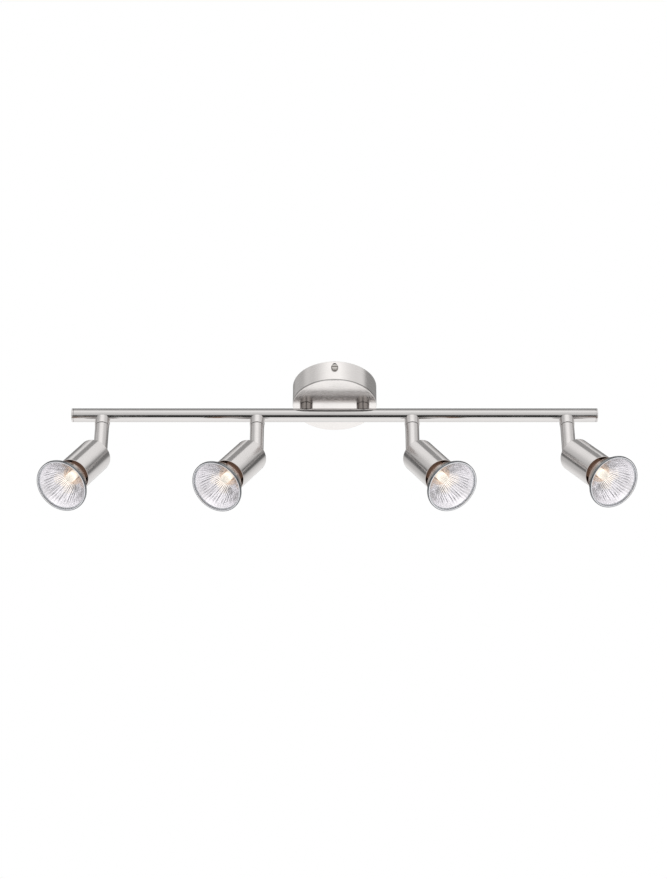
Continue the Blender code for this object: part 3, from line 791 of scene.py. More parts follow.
@dataclass(frozen=True)
class ClearGlass:
    """Clear glass with a faint cold tint and a slight ripple."""

    tint: Colour = (0.99, 0.992, 1.0)
    index: float = 1.46
    ripple_cells: float = 180.0
    ripple_bump: float = 0.1
    ripple_depth: float = 0.02 * MM
    haze: float = 0.02

    def material(self, name: str, where: Matrix) -> bpy.types.Material:
        """Mix the finish for the front glass of one head.

        Args:
            name: the material's name.
            where: the head's place.

        Returns:
            The material.
        """
        mix = Recipe(name, where)
        ripple = mix.noise(self.ripple_cells, 2.0)
        return mix.finish(
            Base_Color=(*self.tint, 1.0),
            Roughness=mix.worn(ripple, 0.0, self.haze),
            Transmission_Weight=1.0,
            IOR=self.index,
            Normal=mix.bump(ripple, self.ripple_bump, self.ripple_depth),
        )


@dataclass(frozen=True)
class GlowingQuartz:
    """A lit burner capsule, brightest over its filament."""

    colour: Colour = (1.0, 0.90, 0.76)
    strength: float = 1.0
    filament: float = 60.0 * MM
    reach: float = 9.0 * MM
    tube_colour: Colour = (0.95, 0.9, 0.8)
    faintest: float = 0.15
    frost_cells: float = 1600.0
    frost: tuple[float, float] = (0.15, 0.4)

    def material(self, name: str, where: Matrix) -> bpy.types.Material:
        """Mix the finish for the burner of one head.

        Args:
            name: the material's name.
            where: the head's place.

        Returns:
            The material.
        """
        mix = Recipe(name, where)
        _, _, z = mix.parts()
        off = mix.maths("ABSOLUTE", mix.maths("ADD", z, self.filament))
        pattern = mix.noise(self.frost_cells, 2.0)
        return mix.finish(
            Base_Color=(*self.tube_colour, 1.0),
            Roughness=mix.worn(pattern, *self.frost),
            Emission_Color=(*self.colour, 1.0),
            Emission_Strength=mix.remap(off, self.reach, 0.0, self.faintest, self.strength),
        )


SATIN = BrushedMetal(roughness=0.15)
# the dark band at -21.5 mm is painted shade along the canopy's lower drawn edge
SATIN_CANOPY = BrushedMetal((0.80, 0.775, 0.765), roughness=0.24, line=-21.5 * MM)
# a darker copy of the satin nickel: painted shade on the spacers
SHADED_SPACER_NICKEL = BrushedMetal((0.34, 0.315, 0.30), roughness=0.14)
DULL_NICKEL = PlainMetal((0.50, 0.48, 0.46), 0.2)
SATIN_TUBE = BrushedMetal((0.63, 0.615, 0.61), roughness=0.10, along=30.0, tone=0.02)
BRIGHT = PlainMetal((0.72, 0.70, 0.68), 0.16, 0.06)
ZINC = PlainMetal((0.60, 0.62, 0.64), 0.38)
# near black: painted shade for the bracket, which sits in the dark inside the canopy
SHADED_BRACKET_STEEL = PlainMetal((0.045, 0.045, 0.047), 0.55)
BRASS = PlainMetal((0.78, 0.58, 0.27), 0.30)
TERMINAL = Moulded((0.86, 0.85, 0.79), 0.45)
SHEATH = Moulded((0.80, 0.80, 0.78), 0.5, 1800.0)
FLOOR_PAINT = Moulded((0.96, 0.96, 0.955), 0.8, 40.0, 0.5 * MM, 0.02)
CERAMIC = Moulded((0.86, 0.83, 0.77), 0.55, 3500.0)


# ---------------------------------------------------------------- sub-assemblies

@dataclass
class Canopy:
    """The drawn cup under the ceiling, with its hook slots, and the two screws it hangs on."""

    radius: float = 40.0 * MM
    height: float = 22.5 * MM
    wall: float = 1.0 * MM
    edge: float = 0.9 * MM
    nipple_hole: float = 4.3 * MM
    nipple_offset: float = 27.0 * MM
    screw_drop: float = 8.0 * MM
    slot_rise: float = 3.6 * MM
    slot_half: float = 2.2 * MM
    screw_radius: float = 1.9 * MM
    head_radius: float = 3.4 * MM
    head_height: float = 2.2 * MM
    drive_width: float = 0.9 * MM
    grip: float = 7.2 * MM
    pitch: float = 0.7 * MM
    thread_depth: float = 0.3 * MM

    def build(self) -> None:
        """Build the cup and its screws."""
        self.cup()
        self.screws()

    def cup(self) -> None:
        """Turn the cup, drill its face and cut the slots in its front and back."""
        low, inner, floor = -self.height, self.radius - self.wall, self.wall - self.height
        middle = self.head_height
        outside = Bench.arc(self.radius - self.edge, low + self.edge, self.edge, -90, 0)
        lip = Bench.arc(self.radius - self.wall / 2, -self.wall / 2, self.wall / 2, 0, 180)
        corner = [(inner, floor + self.wall / 2), (inner - self.wall / 2, floor)]
        outline = [(middle, low), *outside, *lip, *corner, (middle, floor)]
        piece = Bench.turned("drawn_canopy", outline, Sides.LARGE)
        for side in (-1, 1):
            where = Matrix.Translation((side * self.nipple_offset, 0, 0))
            Bench.drill(piece, self.nipple_hole, low - self.wall, floor + self.wall, where)
        reach = self.radius + self.wall
        for height in (-self.screw_drop, self.slot_rise - self.screw_drop):
            where = Matrix.Translation((0, 0, height)) @ LAID_TO_FRONT
            Bench.drill(piece, self.slot_half, -reach, reach, where)
        corner = Vector((self.slot_half, reach, self.slot_rise - self.screw_drop))
        start = Vector((-self.slot_half, -reach, -self.screw_drop))
        Bench.combine(piece, Bench.block("slot", start, corner))
        Bench.soften(piece, self.wall / 8)
        Bench.settle(piece, FIXTURE, "satin_nickel", SATIN_CANOPY.material("canopy_nickel"), "canopy_cup")

    def screws(self) -> None:
        """Make one slotted, threaded screw and put it in the front and the back."""
        round_over = self.head_height / 2
        top = Bench.arc(self.head_radius - round_over, self.head_height - round_over, round_over, 0, 75, 4)
        neck = -self.screw_radius / 3
        shank = Bench.thread(self.screw_radius, -self.grip, neck, self.pitch, self.thread_depth)
        outline = [*shank, (self.screw_radius, 0.0), (self.head_radius, 0.0), *top]
        screw = Bench.turned("screw", outline, Sides.SMALL)
        half = self.drive_width / 2
        reach = self.head_radius * 2
        low = Vector((-reach, -half, self.head_height - self.drive_width))
        Bench.combine(screw, Bench.block("drive", low, Vector((reach, half, reach))))
        Bench.soften(screw, self.drive_width / 10)
        places = {}
        for word, turn in (("front", 0.0), ("back", math.pi)):
            low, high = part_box("canopy_screw_" + word)
            outer = max(abs(low.y), abs(high.y)) - self.head_height
            place = Matrix.Rotation(turn, 4, "Z") @ Matrix.Translation((0, -outer, -self.screw_drop))
            places[word] = place @ LAID_TO_FRONT
        label = Label("hook_screw", FIXTURE, "bright_nickel", "canopy_screw")
        Bench.hand_out(screw, label, places, DULL_NICKEL)


@dataclass
class CeilingBracket:
    """The folded steel strap on the ceiling, with its earth screw and the terminal block under it."""

    width: float = 14.0 * MM
    thick: float = 1.5 * MM
    slot_offset: float = 25.0 * MM
    slot_radius: float = 2.3 * MM
    slot_half: float = 2.2 * MM
    screw_hole: float = 2.2 * MM
    screw_drop: float = 8.0 * MM
    earth_offset: float = 13.5 * MM
    earth_play: float = 0.3 * MM
    earth_neck: float = 0.2 * MM
    earth_pitch: float = 0.5 * MM
    earth_thread: float = 0.2 * MM
    earth_edge: float = 0.1 * MM
    drive_half: float = 0.45 * MM
    drive_depth: float = 1.2 * MM
    poles: int = 3
    pitch: float = 7.0 * MM
    wire_way: float = 1.6 * MM
    clamp: float = 1.4 * MM
    clamp_play: float = 0.15 * MM
    clamp_taper: float = 0.8
    groove: float = 0.8 * MM

    def build(self) -> None:
        """Build the strap, the earth screw and the terminal block."""
        self.strap()
        self.earth_screw()
        self.terminal_block()

    def strap(self) -> None:
        """Fold the strap out of a block, then cut its slots and holes."""
        low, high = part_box("ceiling_bracket")
        piece = Bench.block("folded_bracket", low, high)
        room = Vector((self.width, 0, 0))
        under = Vector((high.x, high.y - self.thick, high.z - self.thick)) + room
        inner_low = Vector((low.x, low.y + self.thick, low.z - self.width)) - room
        Bench.combine(piece, Bench.block("fold", inner_low, under))
        for side in (-1, 1):
            middle = side * self.slot_offset
            for offset in (-self.slot_half, self.slot_half):
                where = Matrix.Translation((0, middle + offset, 0))
                Bench.drill(piece, self.slot_radius, -self.width / 2, self.width / 2, where)
            start = Vector((-self.slot_radius, middle - self.slot_half, -self.width / 2))
            end = Vector((self.slot_radius, middle + self.slot_half, self.width / 2))
            Bench.combine(piece, Bench.block("slot", start, end))
        where = Matrix.Translation((0, 0, -self.screw_drop)) @ LAID_TO_FRONT
        Bench.drill(piece, self.screw_hole, 2 * low.y, 2 * high.y, where)
        where = Matrix.Translation((0, -self.earth_offset, 0))
        Bench.drill(piece, self.screw_hole, -self.width / 2, self.width / 2, where)
        Bench.soften(piece, self.thick / 6)
        # the strap's near-black colour is painted shade, where zinc steel would be pale
        Bench.settle(piece, FIXTURE, "zinc_steel", SHADED_BRACKET_STEEL.material("bracket_painted_shade"), "ceiling_bracket")

    def earth_screw(self) -> None:
        """Turn the earth screw, its slotted head downwards."""
        low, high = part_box("earth_screw")
        radius = (high.x - low.x) / 2
        shank = self.screw_hole - self.earth_play
        seat = -self.thick - self.earth_play
        head = seat - low.z
        top = Bench.arc(radius - shank / 2, head - shank / 2, shank / 2, 0, 75, 4)
        tip = seat - high.z
        thread = Bench.thread(shank, tip, -self.earth_neck, self.earth_pitch, self.earth_thread)
        outline = [*thread, (radius, 0.0), *top]
        piece = Bench.turned("brass_earth_screw", outline, Sides.SMALL)
        slot_low = Vector((-self.drive_half, -2 * radius, head - self.drive_depth))
        slot_high = Vector((self.drive_half, 2 * radius, 2 * head))
        Bench.combine(piece, Bench.block("drive", slot_low, slot_high))
        Bench.soften(piece, self.earth_edge)
        down = Matrix.Translation((0, -self.earth_offset, seat)) @ Matrix.Rotation(math.pi, 4, "X")
        Bench.place(piece, down)
        Bench.settle(piece, FIXTURE, "brass", BRASS.material("earth_brass"), "earth_screw")

    def terminal_block(self) -> None:
        """Mould the block with a wire way, a clamp hole and a brass clamp per pole, and grooves between."""
        low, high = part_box("terminal_block")
        piece = Bench.block("moulded_terminal_block", low, high)
        middle = (low.z + high.z) / 2
        clamps = []
        for pole in range(self.poles):
            offset = (pole - (self.poles - 1) / 2) * self.pitch
            where = Matrix.Translation((offset, 0, middle)) @ LAID_TO_FRONT
            Bench.drill(piece, self.wire_way, 2 * low.y, 2 * high.y, where)
            where = Matrix.Translation((offset, 0, 0))
            Bench.drill(piece, self.clamp, low.z - self.pitch, middle, where)
            clamps.append(self.clamp_screw(offset, low.z))
        for gap in range(self.poles - 1):
            offset = (gap - (self.poles - 2) / 2) * self.pitch
            start = Vector((offset - self.groove / 2, 2 * low.y, low.z - self.pitch))
            end = Vector((offset + self.groove / 2, 2 * high.y, low.z + self.pitch / 4))
            Bench.combine(piece, Bench.block("groove", start, end))
        Bench.soften(piece, self.groove / 4)
        plastic = TERMINAL.material("terminal_moulding")
        Bench.settle(piece, FIXTURE, "terminal_plastic", plastic, "terminal_block")
        brass = BRASS.material("clamp_brass")
        for number, clamp in enumerate(clamps, start=1):
            clamp.name = f"clamp_screw_{number}"
            Bench.settle(clamp, FIXTURE, "brass", brass)

    def clamp_screw(self, offset: float, face: float) -> Piece:
        """Turn one small clamp screw, sunk in its hole.

        Args:
            offset: the pole's place along X.
            face: the block's lower face.

        Returns:
            The screw in its place.
        """
        radius = self.clamp - self.clamp_play
        bottom = face + self.groove
        outline = [(radius / 2, bottom + 3 * radius), (radius, bottom + 2 * radius), (radius, bottom)]
        outline += [(radius * self.clamp_taper, bottom - radius / 8)]
        screw = Bench.turned("clamp", outline, Sides.SMALL)
        Bench.place(screw, Matrix.Translation((offset, 0, 0)))
        return Bench.soften(screw, 0)


@dataclass
class Bar:
    """The long tube with its end caps and wiring, and the spacers, nipples and nuts that hold it."""

    radius: float = 6.5 * MM
    bore: float = 5.5 * MM
    cap_edge: float = 0.4 * MM
    cap_spigot: float = 5.2 * MM
    cap_play: float = 0.3 * MM
    nipple_offset: float = 27.0 * MM
    nipple_radius: float = 4.0 * MM
    nipple_bore: float = 2.8 * MM
    nipple_hole: float = 4.3 * MM
    wire_hole: float = 3.0 * MM
    saddle: float = 6.8 * MM
    spacer_edge: float = 0.3 * MM
    nut_slope: float = 1.7
    nut_proud: float = 0.01 * MM
    nut_smooth: float = 20.0
    thread_pitch: float = 1.0 * MM
    thread_depth: float = 0.35 * MM
    wiring_radius: float = 1.8 * MM
    wires: int = 3
    bundle: float = 2.155
    wire_taper: float = 0.9

    def build(self) -> None:
        """Build every piece of the bar group."""
        low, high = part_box("bar_tube")
        self.axis_z = (low.z + high.z) / 2
        self.tube(high.x)
        self.caps()
        self.wiring()
        sides = (("left", -1), ("right", 1))
        places = {word: Matrix.Translation((side * self.nipple_offset, 0, 0)) for word, side in sides}
        spacer = Label("turned_spacer", FIXTURE, "satin_nickel", "spacer")
        nipple = Label("threaded_nipple", FIXTURE, "zinc_steel", "nipple")
        nut = Label("chamfered_nipple_nut", FIXTURE, "zinc_steel", "nipple_nut")
        Bench.hand_out(self.spacer(), spacer, places, SHADED_SPACER_NICKEL)
        Bench.hand_out(self.nipple(), nipple, places, ZINC)
        Bench.hand_out(self.nut(), nut, places, ZINC)

    def tube(self, half: float) -> None:
        """Draw the tube and drill it for the nipples above and the heads' wires below.

        Args:
            half: half of the tube's length.
        """
        where = Matrix.Translation((0, 0, self.axis_z)) @ LAID_ALONG_X
        outline = [(self.bore, -half), (self.radius, -half), (self.radius, half), (self.bore, half)]
        piece = Bench.place(Bench.turned("drawn_bar", outline, Sides.LARGE, Ends.JOINED), where)
        for side in (-1, 1):
            spot = Matrix.Translation((side * self.nipple_offset, 0, self.axis_z))
            Bench.drill(piece, self.nipple_hole, 0.0, 2 * self.radius, spot)
        for number in HEADS:
            low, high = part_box(f"collar_{number}")
            spot = Matrix.Translation(((low.x + high.x) / 2, 0, self.axis_z))
            Bench.drill(piece, self.wire_hole, -2 * self.radius, 0.0, spot)
        Bench.soften(piece, self.cap_edge / 4)
        Bench.settle(piece, FIXTURE, "satin_nickel", SATIN_TUBE.material("bar_nickel", where), "bar_tube")

    def caps(self) -> None:
        """Turn one end cap and put it in both ends."""
        low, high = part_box("bar_cap_right")
        thick = high.x - low.x - self.cap_spigot
        seat = low.x + self.cap_spigot
        rounding = Bench.arc(self.radius - self.cap_edge, thick - self.cap_edge, self.cap_edge, 0, 90, 4)
        spigot = self.bore - self.cap_play
        outline = [(self.bore / 2, -self.cap_spigot), (spigot, -self.cap_spigot)]
        outline += [(spigot, 0.0), (self.radius, 0.0), *rounding, (self.bore / 8, thick)]
        cap = Bench.soften(Bench.turned("cap", outline, Sides.LARGE), 0)
        places = {}
        for word, turn in (("right", 0.0), ("left", math.pi)):
            spot = Matrix.Translation((0, 0, self.axis_z)) @ Matrix.Rotation(turn, 4, "Z")
            places[word] = spot @ Matrix.Translation((seat, 0, 0)) @ LAID_ALONG_X
        Bench.hand_out(cap, Label("end_cap", FIXTURE, "satin_nickel", "bar_cap"), places, SATIN)

    def wiring(self) -> None:
        """Lay three sheathed wires side by side inside the tube, joined into one bundle."""
        low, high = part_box("bar_wiring")
        wire = self.wiring_radius / self.bundle
        orbit = self.wiring_radius - wire
        tip = wire * self.wire_taper
        outline = [(tip, low.x), (wire, low.x + wire), (wire, high.x - wire), (tip, high.x)]
        strands = []
        for number in range(self.wires):
            angle = 2 * math.pi * number / self.wires
            spot = (0, orbit * math.cos(angle), self.axis_z + orbit * math.sin(angle))
            strand = Bench.turned("bar_wires", outline, Sides.SMALL)
            strands.append(Bench.place(strand, Matrix.Translation(spot) @ LAID_ALONG_X))
        bpy.ops.object.select_all(action="DESELECT")
        for strand in strands:
            strand.select_set(True)
        bpy.context.view_layer.objects.active = strands[0]
        bpy.ops.object.join()
        piece = Bench.soften(strands[0], 0)
        Bench.settle(piece, FIXTURE, "wire_sheath", SHEATH.material("wire_sheathing"), "bar_wiring")

    def saddled(self, piece: Piece) -> Piece:
        """Cut the bar's saddle into a piece that stands upright on it."""
        half = 4 * self.radius
        bar = Matrix.Translation((0, 0, self.axis_z)) @ LAID_ALONG_X
        return Bench.drill(piece, self.saddle, -half, half, bar)

    def spacer(self) -> Piece:
        """Turn the sleeve between the canopy and the bar, saddled on the bar."""
        low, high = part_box("spacer_left")
        radius = (high.x - low.x) / 2
        edge = self.spacer_edge
        top = Bench.arc(radius - edge, high.z - edge, edge, 0, 90, 4)
        outline = [(self.nipple_hole, low.z), (radius, low.z), *top, (self.nipple_hole, high.z)]
        piece = Bench.turned("spacer", outline, Sides.ROUND, Ends.JOINED)
        return Bench.soften(self.saddled(piece), 0)

    def nipple(self) -> Piece:
        """Turn the threaded nipple."""
        low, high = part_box("nipple_left")
        thread = Bench.thread(self.nipple_radius, low.z, high.z, self.thread_pitch, self.thread_depth)
        outline = [(self.nipple_bore, low.z), *thread, (self.nipple_bore, high.z)]
        return Bench.soften(Bench.turned("nipple", outline, Sides.SMALL, Ends.JOINED), 0)

    def nut(self) -> Piece:
        """Make the hexagon nut, its corners turned off at both faces."""
        low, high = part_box("nipple_nut_left")
        corner = max(high.x - low.x, high.y - low.y) / 2
        low, high = low.z, high.z
        piece = Bench.turned("nut", [(corner, low), (corner, high)], Sides.HEXAGON)
        cut = corner * (1 - math.cos(math.pi / Sides.HEXAGON.value))
        drop = cut / self.nut_slope
        proud = corner + self.nut_proud
        cone = [(corner - cut, low), (proud, low + drop), (proud, high - drop), (corner - cut, high)]
        Bench.combine(piece, Bench.turned("cone", cone, Sides.ROUND), Cut.KEEP)
        Bench.drill(piece, self.nipple_hole, low - corner, high + corner)
        return Bench.soften(piece, 0, smooth_below=self.nut_smooth)


@dataclass
class Arm:
    """A swivelling stem in its collar under the bar, with the tilt screw sunk in its cheeks."""

    collar_radius: float = 7.0 * MM
    collar_pocket: float = 6.1 * MM
    collar_lip: float = 4.9 * MM
    lip_height: float = 2.3 * MM
    edge: float = 0.25 * MM
    saddle: float = 6.8 * MM
    radius: float = 6.55 * MM
    shoulder: float = 28.3 * MM
    neck: float = 4.6 * MM
    flange: float = 5.8 * MM
    flange_low: float = 31.2 * MM
    flange_top: float = 32.9 * MM
    bore: float = 3.4 * MM
    bore_end: float = 6.0 * MM
    slot_half: float = 1.8 * MM
    slot_top: float = 7.0 * MM
    pivot_hole: float = 1.9 * MM
    screw_radius: float = 1.6 * MM
    screw_tip: float = 4.8 * MM
    screw_seat: float = 4.52 * MM
    sinking: float = 3.0 * MM
    head_radius: float = 2.7 * MM
    head_height: float = 1.2 * MM
    drive_width: float = 0.8 * MM
    pitch: float = 0.5 * MM
    thread_depth: float = 0.2 * MM
    clearance: float = 0.3 * MM
    round_end: float = 1.005

    def build(self, bar_z: float, places: dict[str, Matrix]) -> None:
        """Make one of each piece and copy it to every arm.

        Args:
            bar_z: the bar's axis.
            places: each arm's place, by its number, with its origin on the tilt pivot.
        """
        self.collars(bar_z)
        stem = Label("brushed_stem", "arm", "satin_nickel", "stem")
        screw = Label("tilt_screw", "arm", "bright_nickel", "pivot_screw")
        Bench.hand_out(self.stem(), stem, places, SATIN)
        Bench.hand_out(self.screw(), screw, places, BRIGHT)

    def collars(self, bar_z: float) -> None:
        """Turn one collar, saddle it on the bar and put one over each arm.

        Args:
            bar_z: the bar's axis.
        """
        low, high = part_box("collar_1")
        edge = self.edge
        foot = Bench.arc(self.collar_radius - edge, low.z + edge, edge, -90, 0, 4)
        lip = low.z + self.lip_height
        outline = [(self.collar_lip, low.z), *foot, (self.collar_radius, high.z)]
        outline += [(self.collar_pocket, high.z), (self.collar_pocket, lip), (self.collar_lip, lip)]
        master = Bench.turned("collar", outline, Sides.ROUND, Ends.JOINED)
        bar = Matrix.Translation((0, 0, bar_z)) @ LAID_ALONG_X
        Bench.drill(master, self.saddle, -4 * self.collar_radius, 4 * self.collar_radius, bar)
        Bench.soften(master, 0)
        places = {}
        for number in HEADS:
            low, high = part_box(f"collar_{number}")
            places[str(number)] = Matrix.Translation(((low.x + high.x) / 2, 0, 0))
        Bench.hand_out(master, Label("saddled_collar", FIXTURE, "satin_nickel", "collar"), places, SATIN)

    def stem(self) -> Piece:
        """Turn the stem, round its lower end across the slot, and cut the slot and the sunk pivot hole."""
        edge = self.edge
        rim = Bench.arc(self.radius - edge, self.shoulder - edge, edge, 0, 90, 4)
        outline = [(edge, -self.radius), (self.radius, -self.radius), *rim, (self.neck, self.shoulder)]
        outline += [(self.neck, self.flange_low), (self.flange, self.flange_low)]
        outline += [(self.flange, self.flange_top), (self.bore, self.flange_top)]
        outline += [(self.bore, self.bore_end), (edge, self.bore_end)]
        stem = Bench.turned("stem", outline, Sides.ROUND)
        reach = 2 * self.radius
        proud = self.radius * self.round_end
        rounded = Bench.turned("round_end", [(proud, -reach), (proud, reach)], Sides.LARGE)
        Bench.place(rounded, LAID_ALONG_X)
        column = Bench.block("column", Vector((-reach, -reach, 0)), Vector((reach, reach, 4 * reach)))
        Bench.combine(rounded, column, Cut.ADD)
        Bench.combine(stem, rounded, Cut.KEEP)
        low = Vector((-self.slot_half, -reach, -reach))
        Bench.combine(stem, Bench.block("slot", low, Vector((self.slot_half, reach, self.slot_top))))
        Bench.drill(stem, self.pivot_hole, -self.screw_tip - self.clearance, reach, LAID_ALONG_X)
        Bench.drill(stem, self.sinking, self.screw_seat - self.clearance, reach, LAID_ALONG_X)
        return Bench.soften(stem, self.edge / 2)

    def screw(self) -> Piece:
        """Turn the tilt screw, its slotted head towards +X and its thread at the other end."""
        top = self.head_height
        tip = -self.screw_seat - self.screw_tip
        round_over = Bench.arc(self.head_radius - top / 2, top / 2, top / 2, 0, 75, 4)
        thread = Bench.thread(self.screw_radius, tip, tip / 2, self.pitch, self.thread_depth)
        outline = [*thread, (self.screw_radius, 0.0), (self.head_radius, 0.0), *round_over]
        piece = Bench.turned("screw", outline, Sides.SMALL)
        half, reach = self.drive_width / 2, 2 * self.head_radius
        low = Vector((-reach, -half, top - self.drive_width))
        Bench.combine(piece, Bench.block("drive", low, Vector((reach, half, reach))))
        Bench.soften(piece, self.drive_width / 10)
        return Bench.place(piece, Matrix.Translation((self.screw_seat, 0, 0)) @ LAID_ALONG_X)


@dataclass
class SpotHead:
    """A tilting cup head: the lug on its back, the drawn cup and the ceramic lampholder in it."""

    cup_radius: float = 16.0 * MM
    cup_back: float = 11.0 * MM
    cup_mouth: float = 57.0 * MM
    cup_wall: float = 0.8 * MM
    cup_edge: float = 0.9 * MM
    cup_hole: float = 4.1 * MM
    tongue_half: float = 1.5 * MM
    web_inset: float = 0.01 * MM
    tongue_radius: float = 4.5 * MM
    pivot_hole: float = 1.9 * MM
    foot_radius: float = 7.0 * MM
    foot_low: float = 10.7 * MM
    foot_top: float = 9.2 * MM
    foot_edge: float = 0.3 * MM
    foot_centre: float = 1.0 * MM
    spigot_radius: float = 3.8 * MM
    spigot_end: float = 13.8 * MM
    holder_radius: float = 12.5 * MM
    holder_groove: float = 1.0 * MM
    holder_top: float = 14.4 * MM
    holder_front: float = 31.4 * MM
    holder_centre: float = 2.0 * MM
    holder_edge: float = 0.4 * MM
    pin_offset: float = 5.0 * MM
    pin_hole: float = 2.95 * MM
    pin_depth: float = 9.0 * MM

    def build(self, places: dict[str, Matrix]) -> None:
        """Make one of each piece and copy it to every head.

        Args:
            places: each head's place, by its number.
        """
        cup = Label("drawn_cup", "head", "satin_nickel", "head_cup")
        lug = Label("lug", "head", "bright_nickel", "tilt_lug")
        holder = Label("fired_holder", "head", "holder_ceramic", "lampholder")
        Bench.hand_out(self.cup(), cup, places, SATIN)
        Bench.hand_out(self.lug(), lug, places, BRIGHT)
        Bench.hand_out(self.holder(), holder, places, CERAMIC)

    def cup(self) -> Piece:
        """Turn the cup, with a drawn back edge and a rounded mouth."""
        edge, wall = self.cup_edge, self.cup_wall
        inner = self.cup_radius - wall
        back = Bench.arc(self.cup_radius - edge, -self.cup_back - edge, edge, 90, 0)
        mouth = Bench.arc(self.cup_radius - wall / 2, wall / 2 - self.cup_mouth, wall / 2, 0, -180)
        ceiling = -self.cup_back - wall
        outline = [(self.cup_hole, -self.cup_back), *back, *mouth, (inner, ceiling - edge)]
        outline += [(inner - edge, ceiling), (self.cup_hole, ceiling)]
        cup = Bench.turned("cup", outline, Sides.LARGE, Ends.JOINED)
        return Bench.soften(cup, 0)

    def lug(self) -> Piece:
        """Turn the lug's foot and spigot, join the rounded tongue to them and drill it."""
        edge, centre = self.foot_edge, self.foot_centre
        outline = [(centre, -self.spigot_end), (self.spigot_radius, -self.spigot_end)]
        outline += [(self.spigot_radius, -self.foot_low), (self.foot_radius, -self.foot_low)]
        outline += Bench.arc(self.foot_radius - edge, -self.foot_top - edge, edge, 0, 90, 3)
        lug = Bench.turned("lug", [*outline, (centre, -self.foot_top)], Sides.ROUND)
        half, radius = self.tongue_half, self.tongue_radius
        tongue = Bench.turned("tongue", [(radius, -half), (radius, half)], Sides.ROUND)
        Bench.place(tongue, LAID_ALONG_X)
        root = -(self.foot_low + self.foot_top) / 2
        width, depth = half - self.web_inset, radius - self.web_inset
        web = Bench.block("web", Vector((-width, -depth, root)), Vector((width, depth, 0)))
        Bench.combine(tongue, web, Cut.ADD)
        Bench.combine(lug, tongue, Cut.ADD)
        Bench.drill(lug, self.pivot_hole, -2 * half, 2 * half, LAID_ALONG_X)
        return Bench.soften(lug, edge / 2)

    def holder(self) -> Piece:
        """Turn the grooved ceramic block and drill its two pin holes."""
        radius, waist = self.holder_radius, self.holder_radius - self.holder_groove
        low, high, centre = -self.holder_front, -self.holder_top, self.holder_centre
        third = (high - low) / 3
        outline = [(centre, low), (radius, low), (radius, low + third), (waist, low + third)]
        outline += [(waist, high - third), (radius, high - third), (radius, high), (centre, high)]
        holder = Bench.turned("holder", outline, Sides.ROUND)
        for side in (-1, 1):
            where = Matrix.Translation((side * self.pin_offset, 0, 0))
            Bench.drill(holder, self.pin_hole, low - self.pin_depth, low + self.pin_depth, where)
        return Bench.soften(holder, self.holder_edge)


